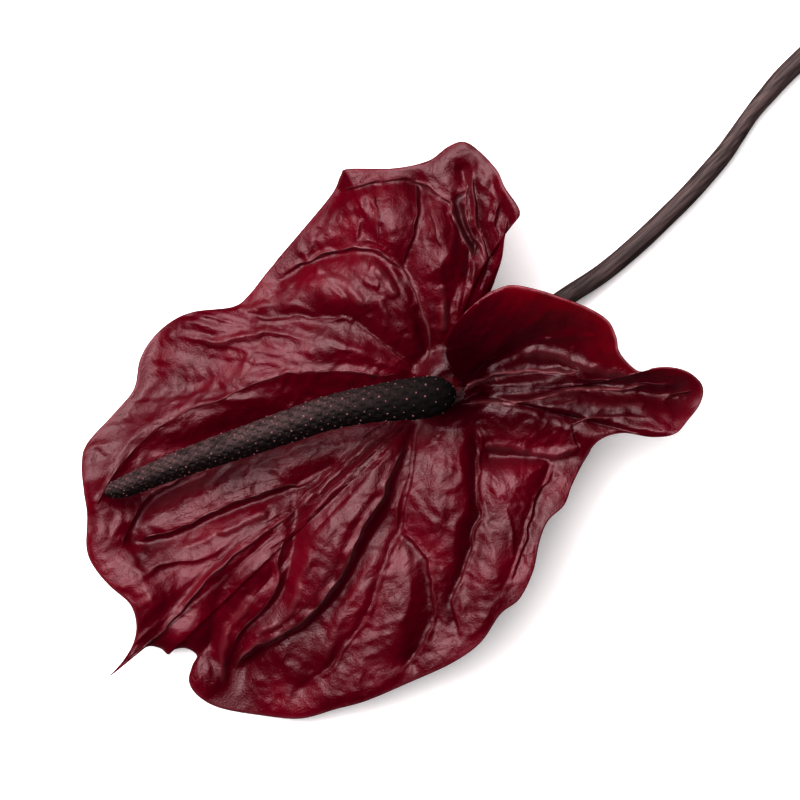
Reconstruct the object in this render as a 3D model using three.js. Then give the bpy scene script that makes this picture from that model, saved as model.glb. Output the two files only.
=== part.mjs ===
// A cut anthurium flower lying on a flat surface: a heart-shaped leathery spathe, the spadix over it and its stem.
//
// Millimetres, +Z up, z = 0 is the surface that the flower lies on. The points below are given on the flower's own
// plan: the origin is the hub, where the stem, the spathe and the spadix meet, +x runs along the right lobe to its
// beak, +y to the top of the back lobe, and the spathe's tail points to -x -y. The finished flower is turned so that
// its length lies along +X, and moved so that the origin is the centre of its footprint.

import * as THREE from 'three';

// ---------------------------------------------------------------- driving dimensions

const FLOWER_TURN = THREE.MathUtils.degToRad(-41);
const HUB_PLACE = { x: -109.8, y: -2.8 };

const HUB_HEIGHT = 22; // front face of the spathe where it sits on the stem
const HUB_RADIUS = 3.2;
const SPATHE_THICKNESS = 0.8;
const STEEPEST_WALL = 1.9; // most that the thickness is measured longer, straight down, on a steep fold
const SEAT_GAP = 0.3; // clearance between pieces that touch

const RIM_STEP = 5.2; // longest step along the outline
const RING_SHARES = [0.1, 0.16, 0.22, 0.28, 0.34, 0.4, 0.46, 0.52, 0.58, 0.64, 0.7, 0.76, 0.82, 0.88, 0.94];
const RING_STEP = 3.9; // step round an inner ring
const FEWEST_SPOKES = 40;

const SLIT_LIFT = 2.8; // the right lobe's margin rises beside the slit, so that it passes over the other margin
const SLIT_LIFT_SHARE = 0.05;
const MARGIN_ROLL = 0.5; // the margin's last few millimetres turn down
const MARGIN_ROLL_WIDTH = 1.6;
const FOLD_ROUNDING = 0.6; // radius left in the bottom of a fold
const FOLD_START = 4; // folds grow from nothing between these two distances from the hub
const FOLD_FULL = 11;

const SPADIX_SIDES = 24;
const SPADIX_RINGS = 66;
const FLORET_RELIEF = 0.32;

const STEM_SIDES = 10;
const STEM_RINGS = 64;
const STEM_PRESS = 0.12; // the lying stem is pressed this much flat where it touches the surface

const COLOURS = { spathe: 0x6e0c1e, spadix: 0x2a2122, stem: 0x3d2e2d };

// The spathe's outline, clockwise from the right lobe's side of the slit. Each row: x, y, height of the margin,
// height half way in to the hub, and, where the line from the hub to the margin isn't straight, its bend in x and y.
const OUTLINE = [
  [9.5, 23.5, 33, 30, -6.4, -1.2],
  [15, 25.2, 34, 27, -4.6, -1.2],
  [21.6, 24, 34, 24, -2.6, -0.8],
  [28, 22, 33, 22, -1.2, -0.4],
  [34.5, 19.4, 32, 18],
  [39.2, 16.4, 31, 18],
  [41.3, 12.4, 29.5, 17.5],
  [42, 9, 28, 17.5, 0, -0.6],
  [44.2, 6, 26, 20.5, 0, -1.4],
  [46.8, 3.9, 25.5, 20.5, 0, -1.8],
  [48.6, 3.8, 26, 20.5, 0, -2.2],
  [50.4, 4.5, 27, 20.5, 0, -2.4],
  [54.5, 4.8, 27.5, 20.5, 0, -2],
  [59, 3.8, 27.5, 20.5, 0, -1.2],
  [62.2, 1.4, 27, 20.5, 0, -0.4],
  [63.2, -1.2, 26.5, 20.5],
  [62.2, -4.6, 26.5, 20.5],
  [59.4, -8.2, 28, 20.5],
  [56, -11.7, 28, 20.5],
  [50.5, -12.5, 25, 19],
  [43, -11.5, 23, 19.5],
  [37.2, -13.4, 22.5, 20.5],
  [33.6, -18.2, 20, 21],
  [30.4, -24.4, 21.5, 20.8],
  [28.4, -29.4, 22.5, 20.6],
  [24.3, -33.4, 23.5, 20.6],
  [22.2, -38.6, 23, 20.6],
  [20.6, -46, 22.5, 20.6],
  [17.2, -52.9, 21.5, 20.6],
  [12.4, -56.8, 20.5, 20.6],
  [7.4, -64, 19, 20.5],
  [0, -69.3, 17, 20.4],
  [-11.5, -74.6, 14, 20.2],
  [-21, -78.7, 11.5, 20],
  [-29, -81, 9, 19.8],
  [-37, -83.3, 6.5, 19.6],
  [-45, -83, 3.4, 19.4],
  [-57, -81.1, -0.4, 18.5],
  [-63, -78.2, 1.6, 19],
  [-65.7, -74.4, 2, 19],
  [-64.9, -70.3, 3, 19],
  [-63.7, -67.6, 4, 19],
  [-66.3, -65.7, 5.5, 19],
  [-69.3, -66, 6, 19],
  [-70.8, -67.3, 6, 19],
  [-72.8, -65.7, 6.5, 19],
  [-75.8, -65.2, 7, 19],
  [-78.3, -67, 6, 18.8],
  [-81.5, -69.6, 4.6, 18.4],
  [-85.7, -72.9, 2.8, 18],
  [-82.3, -69, 4.8, 18.4],
  [-79.6, -64.4, 8, 18.6],
  [-78.8, -59.4, 10, 17.6],
  [-80.4, -54.4, 10, 16.5],
  [-85.4, -50, 8.5, 15.5],
  [-89.2, -45.6, 7, 15],
  [-91.3, -40.6, 6, 14.5],
  [-91.2, -32, 4.6, 14],
  [-92.1, -26, 3.6, 14],
  [-92.7, -19.6, 2.6, 13.5],
  [-91.4, -14.2, 1.6, 13.5],
  [-84.6, -6.6, 0, 13.5],
  [-79.6, -0.4, -1.2, 14],
  [-78.1, 6.8, -1.2, 14.5],
  [-75.2, 12, 0.4, 15.5],
  [-70.4, 16.4, 3, 17],
  [-64.4, 19, 5.6, 18.5],
  [-54.6, 20.2, 9, 20.5],
  [-50.4, 23.2, 10.4, 21],
  [-45.6, 29.2, 11.6, 21.5],
  [-38, 38, 13.4, 23],
  [-29.6, 48.1, 16, 24.5],
  [-27.2, 53, 17.8, 25.2],
  [-25.4, 54.5, 20, 26],
  [-14, 54.6, 22, 27],
  [-5.4, 56.4, 23.6, 27.5],
  [-0.4, 59.9, 24.4, 27.5],
  [3.4, 61.1, 25.6, 27.5],
  [7, 59, 26.4, 27.5, -0.5, 0],
  [11.6, 54, 29, 26.6, -1.4, 0],
  [13.6, 49.6, 31, 27, -2.8, 0],
  [17.3, 43.2, 32, 26, -4.4, 0],
  [14, 38.8, 30, 24.5, -3, 0],
  [12.9, 32, 27.4, 22, -1.4, 0],
  [11, 26, 24, 18, 0, -0.3],
];

// The spathe's large folds, each along a path from the hub outwards: how deep it is at its start and its end (a
// negative depth is a ridge), how far it spreads to the left and to the right of the path, and the path's points.
const FOLDS = [
  { name: 'midrib', depth: [2.4, 1], spread: [7, 7],
    path: [[-8, -6], [-20, -12.5], [-35, -26.5], [-50, -38.5], [-62, -49], [-72, -59]] },
  { name: 'midrib tail', depth: [-1.4, -2], spread: [3, 4],
    path: [[-46, -35.5], [-58, -45], [-66, -53.5], [-75, -62.5], [-83, -70.5]] },
  { name: 'valley under the spadix', depth: [6.6, 6.5], spread: [4.5, 13],
    path: [[-11, -6], [-29, -8], [-49, -14], [-64, -19.6], [-77, -25.4]] },
  { name: 'ridge above the spadix', depth: [-2.8, -5], spread: [8.5, 6],
    path: [[-14, 3.2], [-26, 3.4], [-38, 4], [-48, 2.4], [-57, -0.6], [-66, -4.4], [-77, -10.4], [-83.5, -17.6], [-89, -28]] },
  { name: 'lower ridge', depth: [-1, -2.4], spread: [1.6, 5],
    path: [[-10, -11], [-13.8, -20], [-17, -27.8], [-22, -35.4], [-27.5, -47.8], [-36.7, -57.8], [-50, -66]] },
  { name: 'lower valley', depth: [3, 4.4], spread: [5, 2],
    path: [[-9.5, -11], [-13, -20], [-16.2, -31], [-21, -39.6], [-27, -51], [-36, -60], [-47, -66], [-53, -72]] },
  { name: 'bottom vein', depth: [1.6, 2.2], spread: [4, 4],
    path: [[-8, -10], [-10.5, -24], [-12.6, -37], [-17, -47.5], [-21, -58], [-28, -68], [-37, -76]] },
  { name: 'bottom loop', depth: [2, 2.6], spread: [5, 4],
    path: [[-12.4, -37], [-6.4, -42], [-4.2, -51.6], [-5, -61.5], [-9.6, -69]] },
  { name: 'side vein', depth: [1.1, 1.5], spread: [3, 2.4],
    path: [[6.2, -9.5], [7, -20], [7.4, -31], [5, -42.6], [1.4, -52], [2.6, -62]] },
  { name: 'lower right crease', depth: [4.4, 1], spread: [8, 2.2],
    path: [[10, -17.6], [24, -18], [23.4, -24], [20.3, -31.3], [17.5, -41], [13, -51]] },
  { name: 'deep groove', depth: [3.6, 4.2], spread: [3.4, 2.8],
    path: [[-38.5, -31], [-39.8, -44], [-43, -53], [-51, -61], [-55, -70]] },
  { name: 'valley beside the midrib', depth: [2.4, 3], spread: [5, 3],
    path: [[-45, -38], [-54, -46.5], [-59, -56], [-60.5, -68]] },
  { name: 'left vein', depth: [2.6, 2.6], spread: [4, 1.6],
    path: [[-30, -20], [-43, -26.8], [-58, -32.4], [-70, -37.6], [-79, -39.5]] },
  { name: 'crease under the tip', depth: [2.6, 3], spread: [4, 1.6],
    path: [[-62, -22.4], [-72.5, -27], [-77.5, -31.6], [-80.6, -37]] },
  { name: 'right lobe trough', depth: [3.4, 4], spread: [7, 2.4],
    path: [[4, -2.6], [10, -2.2], [19, -2], [27, -0.6], [36, 0]] },
  { name: 'beak trough', depth: [2, 8], spread: [7, 8],
    path: [[30, 0.4], [40, -0.6], [50, -1.6], [57, -2.4]] },
  { name: 'ridge under the right cord', depth: [-1, -3], spread: [3, 9],
    path: [[4, -4.2], [10.4, -3.6], [19, -3.2], [32, -1]] },
  { name: 'upper fold', depth: [2.6, 2.2], spread: [4.6, 4],
    path: [[-8, 3.6], [-14.2, 8.8], [-26.5, 16.6], [-39, 16.6], [-50, 18]] },
  { name: 'inner loop', depth: [2.6, 3.4], spread: [4, 3.6],
    path: [[-5.2, 8.4], [-7, 17], [-10, 26], [-16.7, 32.4], [-25, 33.6], [-34, 31.6], [-43, 26.6]] },
  { name: 'outer loop', depth: [2, 2.8], spread: [4, 3],
    path: [[-1.4, 10], [0.6, 22], [4.8, 31], [2.6, 40], [-1.7, 47], [-9, 51], [-18, 51], [-27, 49]] },
  { name: 'loop branch', depth: [2.2, 2], spread: [2.4, 3.4],
    path: [[-11.6, 30], [-9, 37], [-7.4, 45], [-8, 51]] },
  { name: 'corner pleat', depth: [2, 4], spread: [3, 2.2],
    path: [[9.4, 29], [7.4, 37], [5, 46], [3, 54]] },
  { name: 'valley above the tail', depth: [1.4, 3.6], spread: [4, 8],
    path: [[-55, -40], [-63, -48], [-70, -57], [-75, -64]] },
  { name: 'ridge inside the left margin', depth: [-0.6, -2], spread: [4, 4],
    path: [[-80, -33], [-80, -41], [-77.5, -48], [-74.5, -55]] },
];

// The spadix, from its neck on the hub to its tip: x, y, height of its centre line and radius.
const SPADIX = [
  [-0.8, -1.2, 22.3, 1.9],
  [-1, -1.4, 23.8, 2.3],
  [-2, -1.8, 26, 3.9],
  [-4.6, -2.3, 28, 4.9],
  [-10, -3, 28.8, 5.1],
  [-20, -4.3, 28.6, 4.5],
  [-30, -6.4, 27.6, 4.2],
  [-40, -9.7, 26, 4.05],
  [-50, -13.2, 23.6, 3.8],
  [-60, -16.6, 20.4, 3.55],
  [-70, -20.2, 16.6, 3.2],
  [-79.5, -24.2, 12.8, 2.75],
  [-84.4, -26, 11, 2.1],
  [-86.4, -26.7, 10.4, 0.9],
];

// The stem, from under the hub to its cut end: x, y, height of its centre line and radius. From the fifth point on
// it comes down to the surface, and lies on it from the eighth to the end.
const STEM = [
  [0, 0, 20.7, 2],
  [0, 0, 17.6, 2.35],
  [1.8, 1.4, 13.2, 2.4],
  [6, 4.8, 9.4, 2.35],
  [12.6, 10, 6.6, 2.3],
  [20.8, 16.6, 4.6, 2.3],
  [29.1, 22.5, 3.2, 2.35],
  [38, 28.3, 2.4, 2.4],
  [45.6, 34.5, 2.4, 2.4],
  [53.1, 41.4, 2.4, 2.4],
  [60.7, 49, 2.4, 2.4],
  [68.3, 57.7, 2.3, 2.3],
  [72, 62.8, 2.1, 2.1],
  [75.9, 68.5, 2, 2],
  [79.7, 73.2, 2.15, 2.15],
  [87.2, 81.3, 2.4, 2.4],
  [107, 98.8, 2.5, 2.5],
  [140, 124.4, 2.6, 2.6],
  [178, 152.6, 2.7, 2.7],
  [216, 183, 2.8, 2.8],
  [252, 214, 3, 3],
];
const STEM_CUT_SLANT = 0.5; // the cut face leans by this share of the radius

// ---------------------------------------------------------------- helpers

const { clamp, lerp, smoothstep } = THREE.MathUtils;

// A smooth curve through rows of three numbers.
const smoothCurve = (rows) =>
  new THREE.CatmullRomCurve3(rows.map(([a, b, c]) => new THREE.Vector3(a, b, c)), false, 'catmullrom');

function meshOf(name, positions, triangles) {
  const geometry = new THREE.BufferGeometry();
  geometry.setAttribute('position', new THREE.Float32BufferAttribute(positions.flat(), 3));
  geometry.setIndex(triangles.flat());
  geometry.computeVertexNormals();
  const material = new THREE.MeshStandardMaterial({ color: COLOURS[name], roughness: 0.4, metalness: 0 });
  const mesh = new THREE.Mesh(geometry, material);
  mesh.name = name;
  return mesh;
}

// Triangles of the band between two rows of points, stepping along whichever row is behind. Each row lists its
// points' numbers and their shares of the way round, and the inner row comes first.
function bandTriangles(inner, outer) {
  const triangles = [];
  let i = 0;
  let j = 0;
  while (i < inner.index.length - 1 || j < outer.index.length - 1) {
    const nextInner = i < inner.index.length - 1 ? inner.share[i + 1] : Infinity;
    const nextOuter = j < outer.index.length - 1 ? outer.share[j + 1] : Infinity;
    if (nextInner < nextOuter) {
      triangles.push([inner.index[i], inner.index[i + 1], outer.index[j]]);
      i += 1;
    } else {
      triangles.push([inner.index[i], outer.index[j + 1], outer.index[j]]);
      j += 1;
    }
  }
  return triangles;
}

// ---------------------------------------------------------------- spathe

const outlineCurve = smoothCurve(OUTLINE);
const bellyCurve = smoothCurve(OUTLINE.map(([, , , middle, bendX = 0, bendY = 0]) => [middle, bendX, bendY]));
const foldLines = FOLDS.map((fold) => {
  const curve = smoothCurve(fold.path.map(([x, y]) => [x, y, 0]));
  return { ...fold, points: curve.getPoints(4 * (fold.path.length - 1)) };
});

// What one fold adds at a point of the plan.
function foldHeight(fold, x, y) {
  const steps = fold.points.length - 1;
  let best = { distance: Infinity };
  for (let k = 0; k < steps; k += 1) {
    const from = fold.points[k];
    const dx = fold.points[k + 1].x - from.x;
    const dy = fold.points[k + 1].y - from.y;
    const length = Math.hypot(dx, dy);
    const along = clamp(((x - from.x) * dx + (y - from.y) * dy) / length ** 2, 0, 1);
    const distance = Math.hypot(x - from.x - along * dx, y - from.y - along * dy);
    if (distance < best.distance) {
      const across = ((y - from.y) * dx - (x - from.x) * dy) / length;
      best = { distance, across, share: (k + along) / steps };
    }
  }
  const side = clamp(best.across / Math.max(best.distance, 1e-6), -1, 1);
  const spread = lerp(fold.spread[1], fold.spread[0], (side + 1) / 2);
  const depth = lerp(fold.depth[0], fold.depth[1], best.share);
  const rounded = Math.hypot(best.distance, FOLD_ROUNDING) - FOLD_ROUNDING;
  return -depth * Math.exp(-rounded / spread);
}

// A point of the spathe's front face: how far round the outline, and what share of the way from the hub to it.
function spathePoint(round, share) {
  const rim = outlineCurve.getPoint(round);
  const belly = bellyCurve.getPoint(round);
  const direction = Math.atan2(rim.y, rim.x);
  const bow = 4 * share * (1 - share);
  const x = lerp(HUB_RADIUS * Math.cos(direction), rim.x, share) + belly.y * bow;
  const y = lerp(HUB_RADIUS * Math.sin(direction), rim.y, share) + belly.z * bow;

  const hub = HUB_HEIGHT + SLIT_LIFT * Math.exp(-round / SLIT_LIFT_SHARE);
  const control = 2 * belly.x - (hub + rim.z) / 2;
  let height = hub * (1 - share) ** 2 + 2 * control * share * (1 - share) + rim.z * share ** 2;

  const folded = foldLines.reduce((sum, fold) => sum + foldHeight(fold, x, y), 0);
  height += folded * smoothstep(Math.hypot(x, y), FOLD_START, FOLD_FULL);

  const toMargin = (1 - share) * Math.hypot(rim.x, rim.y);
  height -= MARGIN_ROLL * Math.exp(-toMargin / MARGIN_ROLL_WIDTH);
  return [x, y, height];
}

// The stations along the outline: each row of OUTLINE, with steps between two rows where they lie far apart.
function rimStations() {
  const last = OUTLINE.length - 1;
  const stations = [];
  for (let row = 0; row < last; row += 1) {
    const [x0, y0] = OUTLINE[row];
    const [x1, y1] = OUTLINE[row + 1];
    const steps = Math.ceil(Math.hypot(x1 - x0, y1 - y0) / RIM_STEP);
    for (let step = 0; step < steps; step += 1) stations.push((row + step / steps) / last);
  }
  stations.push(1);
  return stations;
}

function buildSpathe() {
  const reach = outlineCurve.getLength();
  const points = [[0, 0, HUB_HEIGHT]];
  const rings = [0, ...RING_SHARES, 1].map((share) => {
    const count = Math.max(FEWEST_SPOKES, Math.round((reach * Math.max(share, 0.05)) / RING_STEP));
    const even = Array.from({ length: count + 1 }, (_, k) => outlineCurve.getUtoTmapping(k / count));
    const stations = share === 1 ? rimStations() : even;
    const index = stations.map((round) => points.push(spathePoint(round, share)) - 1);
    return { index, share: stations };
  });

  // The front face: a fan round the hub's centre, then a band between each two rings.
  const hubRing = rings[0].index;
  const front = hubRing.map((from, k) => [0, hubRing[(k + 1) % hubRing.length], from]);
  for (let k = 1; k < rings.length; k += 1) front.push(...bandTriangles(rings[k - 1], rings[k]));

  // The back face lies straight below, further where the front is steep, so that the wall keeps its thickness.
  const face = meshOf('spathe', points, front);
  const normals = face.geometry.getAttribute('normal');
  const count = points.length;
  const back = points.map(([x, y, z], k) => {
    const wall = SPATHE_THICKNESS * Math.min(1 / Math.max(normals.getZ(k), 0.1), STEEPEST_WALL);
    const lying = z - wall < 0; // what would reach below the surface lies flat on it
    if (lying) points[k][2] = wall;
    return [x, y, lying ? 0 : z - wall];
  });

  // The rim: along one side of the slit, round the outline, and back along the other side.
  const border = [
    ...rings.map((ring) => ring.index[0]),
    ...rings.at(-1).index.slice(1),
    ...rings.slice(0, -1).reverse().map((ring) => ring.index.at(-1)),
  ];
  const rim = border.flatMap((from, k) => {
    const to = border[(k + 1) % border.length];
    return [[from, to, to + count], [from, to + count, from + count]];
  });
  const underside = front.map(([a, b, c]) => [a + count, c + count, b + count]);
  return meshOf('spathe', [...points, ...back], [...front, ...underside, ...rim]);
}

// ---------------------------------------------------------------- spadix and stem

// A closed round body along rows of x, y, height and radius. relief(ring, side) adds to the radius, and shape(point,
// ring) may move a finished point.
function buildSpike(name, rows, sides, steps, relief, shape) {
  const line = smoothCurve(rows);
  const radii = smoothCurve(rows.map(([, , , radius]) => [radius, 0, 0]));
  const points = [];
  for (let ring = 0; ring <= steps; ring += 1) {
    const t = line.getUtoTmapping(ring / steps);
    const centre = line.getPoint(t);
    const along = line.getTangent(t);
    const across = new THREE.Vector3(0, 0, 1).cross(along);
    if (across.length() < 0.3) across.set(-0.62, 0.78, 0);
    across.normalize();
    const up = along.clone().cross(across).normalize();
    for (let side = 0; side < sides; side += 1) {
      const angle = (2 * Math.PI * side) / sides;
      const radius = radii.getPoint(t).x + relief(ring, side);
      const point = centre.clone()
        .addScaledVector(across, radius * Math.cos(angle))
        .addScaledVector(up, radius * Math.sin(angle));
      points.push(shape(point, ring).toArray());
    }
  }
  const start = points.push(line.getPoint(0).toArray()) - 1;
  const end = points.push(shape(line.getPoint(1), steps).toArray()) - 1;
  const triangles = [];
  for (let side = 0; side < sides; side += 1) {
    const next = (side + 1) % sides;
    triangles.push([start, next, side]);
    triangles.push([end, steps * sides + side, steps * sides + next]);
    for (let ring = 0; ring < steps; ring += 1) {
      const [a, b] = [ring * sides + side, ring * sides + next];
      const [c, d] = [a + sides, b + sides];
      // The diagonal runs between the two raised corners, so that each floret is a low diamond.
      if ((ring + side) % 2) triangles.push([a, b, c], [b, d, c]);
      else triangles.push([a, b, d], [a, d, c]);
    }
  }
  return meshOf(name, points, triangles);
}

function buildSpadix() {
  const bare = 5; // rings of the smooth neck
  const relief = (ring, side) => {
    if (ring < bare || ring > SPADIX_RINGS - 1) return 0;
    return (ring + side) % 2 ? -FLORET_RELIEF / 2 : FLORET_RELIEF / 2;
  };
  return buildSpike('spadix', SPADIX, SPADIX_SIDES, SPADIX_RINGS, relief, (point) => point);
}

function buildStem() {
  const [cutX, cutY] = STEM.at(-1);
  const shape = (point, ring) => {
    const lying = Math.max(point.z - STEM_PRESS, 0);
    const slant = ring === STEM_RINGS ? STEM_CUT_SLANT * (lying - STEM.at(-1)[2]) : 0;
    const outward = Math.hypot(cutX, cutY);
    return new THREE.Vector3(point.x - (slant * cutX) / outward, point.y - (slant * cutY) / outward, lying);
  };
  const stem = [[STEM[0][0], STEM[0][1], HUB_HEIGHT - SPATHE_THICKNESS - SEAT_GAP + STEM_PRESS, STEM[0][3]],
    ...STEM.slice(1)];
  return buildSpike('stem', stem, STEM_SIDES, STEM_RINGS, () => 0, shape);
}

// ---------------------------------------------------------------- the flower

const flower = new THREE.Group();
flower.add(buildSpathe(), buildSpadix(), buildStem());
flower.rotation.z = FLOWER_TURN;
flower.position.set(HUB_PLACE.x, HUB_PLACE.y, 0);

export default flower;
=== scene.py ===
"""A cut anthurium laid on a pale table: puckered crimson spathe, dark spadix with its florets, and the long stem."""

import math

import bpy
import numpy as np
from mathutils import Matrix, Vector


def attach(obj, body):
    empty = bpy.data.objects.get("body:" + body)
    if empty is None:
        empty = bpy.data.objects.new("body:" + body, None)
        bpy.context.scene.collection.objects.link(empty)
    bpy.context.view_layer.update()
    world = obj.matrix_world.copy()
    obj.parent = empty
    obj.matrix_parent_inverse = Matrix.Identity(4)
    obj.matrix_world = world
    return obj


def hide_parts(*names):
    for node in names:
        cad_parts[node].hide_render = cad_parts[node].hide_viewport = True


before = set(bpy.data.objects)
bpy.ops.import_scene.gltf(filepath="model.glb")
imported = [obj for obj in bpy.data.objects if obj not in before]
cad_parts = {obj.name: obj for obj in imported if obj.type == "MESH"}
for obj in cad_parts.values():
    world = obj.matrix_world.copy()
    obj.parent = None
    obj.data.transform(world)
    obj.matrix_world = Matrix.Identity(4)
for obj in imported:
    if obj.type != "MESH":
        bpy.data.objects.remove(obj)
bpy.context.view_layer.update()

# ---------------------------------------------------------------- sizes, in millimetres on the flower's own plan
# The plan's origin is the hub, where spathe, spadix and stem meet. The flower is turned and moved from there.

FLOWER_TURN = math.radians(-41)
HUB_PLACE = (-109.8, -2.8)
HUB_HEIGHT = 22
HUB_RADIUS = 3.2

SPATHE_THICKNESS = 0.8
STEEPEST_WALL = 1.9  # where the blade is steep, its two faces lie up to this many thicknesses apart
RIM_ROUNDING = 0.22
REST_ROUNDING = 0.5  # how softly the front face flattens where the spathe rests
SLIT_LIFT = 2.8  # the right lobe starts this much higher, to pass over the upper lobe's end
SLIT_LIFT_SHARE = 0.05
MARGIN_ROLL = 0.5
MARGIN_ROLL_WIDTH = 1.6

FRONT_RINGS = 160
FRONT_STEP = 0.56
BACK_RINGS = 56
BACK_STEP = 1.6
FEWEST_SPOKES = 60
LEAST_SHARE = 0.03  # the rings nearest the hub have at least this share of the margin's spokes

# Shares of the way round the margin, clockwise from the slit: the lobes, and the parts of them that get painted shade.
RIGHT_LOBE_TO = 0.4
UPPER_LOBE_FROM = 0.6
THROAT_SHADE_TO = 0.5
SHADED_LOBE_TO = 0.3

# The spathe's outline, clockwise from the right lobe's side of the slit. Each row: x, y, height of the margin,
# height half way in to the hub, and, where the line from the hub to the margin isn't straight, its bend in x and y.
OUTLINE = [
    (9.5, 23.5, 33, 30, -6.4, -1.2), (15, 25.2, 34, 27, -4.6, -1.2), (21.6, 24, 34, 24, -2.6, -0.8),
    (28, 22, 33, 22, -1.2, -0.4), (34.5, 19.4, 32, 18), (39.2, 16.4, 31, 18), (41.3, 12.4, 29.5, 17.5),
    (42, 9, 28, 17.5, 0, -0.6), (44.2, 6, 26, 20.5, 0, -1.4), (46.8, 3.9, 25.5, 20.5, 0, -1.8),
    (48.6, 3.8, 26, 20.5, 0, -2.2), (50.4, 4.5, 27, 20.5, 0, -2.4), (54.5, 4.8, 27.5, 20.5, 0, -2),
    (59, 3.8, 27.5, 20.5, 0, -1.2), (62.2, 1.4, 27, 20.5, 0, -0.4), (63.2, -1.2, 26.5, 20.5),
    (62.2, -4.6, 26.5, 20.5), (59.4, -8.2, 28, 20.5), (56, -11.7, 28, 20.5), (50.5, -12.5, 25, 19),
    (43, -11.5, 23, 19.5), (37.2, -13.4, 22.5, 20.5), (33.6, -18.2, 20, 21), (30.4, -24.4, 21.5, 20.8),
    (28.4, -29.4, 22.5, 20.6), (24.3, -33.4, 23.5, 20.6), (22.2, -38.6, 23, 20.6), (20.6, -46, 22.5, 20.6),
    (17.2, -52.9, 21.5, 20.6), (12.4, -56.8, 20.5, 20.6), (7.4, -64, 19, 20.5), (0, -69.3, 17, 20.4),
    (-11.5, -74.6, 14, 20.2), (-21, -78.7, 11.5, 20), (-29, -81, 9, 19.8), (-37, -83.3, 6.5, 19.6),
    (-45, -83, 3.4, 19.4), (-57, -81.1, -0.4, 18.5), (-63, -78.2, 1.6, 19), (-65.7, -74.4, 2, 19),
    (-64.9, -70.3, 3, 19), (-63.7, -67.6, 4, 19), (-66.3, -65.7, 5.5, 19), (-69.3, -66, 6, 19), (-70.8, -67.3, 6, 19),
    (-72.8, -65.7, 6.5, 19), (-75.8, -65.2, 7, 19), (-78.3, -67, 6, 18.8), (-81.5, -69.6, 4.6, 18.4),
    (-85.7, -72.9, 2.8, 18), (-82.3, -69, 4.8, 18.4), (-79.6, -64.4, 8, 18.6), (-78.8, -59.4, 10, 17.6),
    (-80.4, -54.4, 10, 16.5), (-85.4, -50, 8.5, 15.5), (-89.2, -45.6, 7, 15), (-91.3, -40.6, 6, 14.5),
    (-91.2, -32, 4.6, 14), (-92.1, -26, 3.6, 14), (-92.7, -19.6, 2.6, 13.5), (-91.4, -14.2, 1.6, 13.5),
    (-84.6, -6.6, 0, 13.5), (-79.6, -0.4, -1.2, 14), (-78.1, 6.8, -1.2, 14.5), (-75.2, 12, 0.4, 15.5),
    (-70.4, 16.4, 3, 17), (-64.4, 19, 5.6, 18.5), (-54.6, 20.2, 9, 20.5), (-50.4, 23.2, 10.4, 21),
    (-45.6, 29.2, 11.6, 21.5), (-38, 38, 13.4, 23), (-29.6, 48.1, 16, 24.5), (-27.2, 53, 17.8, 25.2),
    (-25.4, 54.5, 20, 26), (-14, 54.6, 22, 27), (-5.4, 56.4, 23.6, 27.5), (-0.4, 59.9, 24.4, 27.5),
    (3.4, 61.1, 25.6, 27.5), (7, 59, 26.4, 27.5, -0.5, 0), (11.6, 54, 29, 26.6, -1.4, 0),
    (13.6, 49.6, 31, 27, -2.8, 0), (17.3, 43.2, 32, 26, -4.4, 0), (14, 38.8, 30, 24.5, -3, 0),
    (12.9, 32, 27.4, 22, -1.4, 0), (11, 26, 24, 18, 0, -0.3),
]

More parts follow.
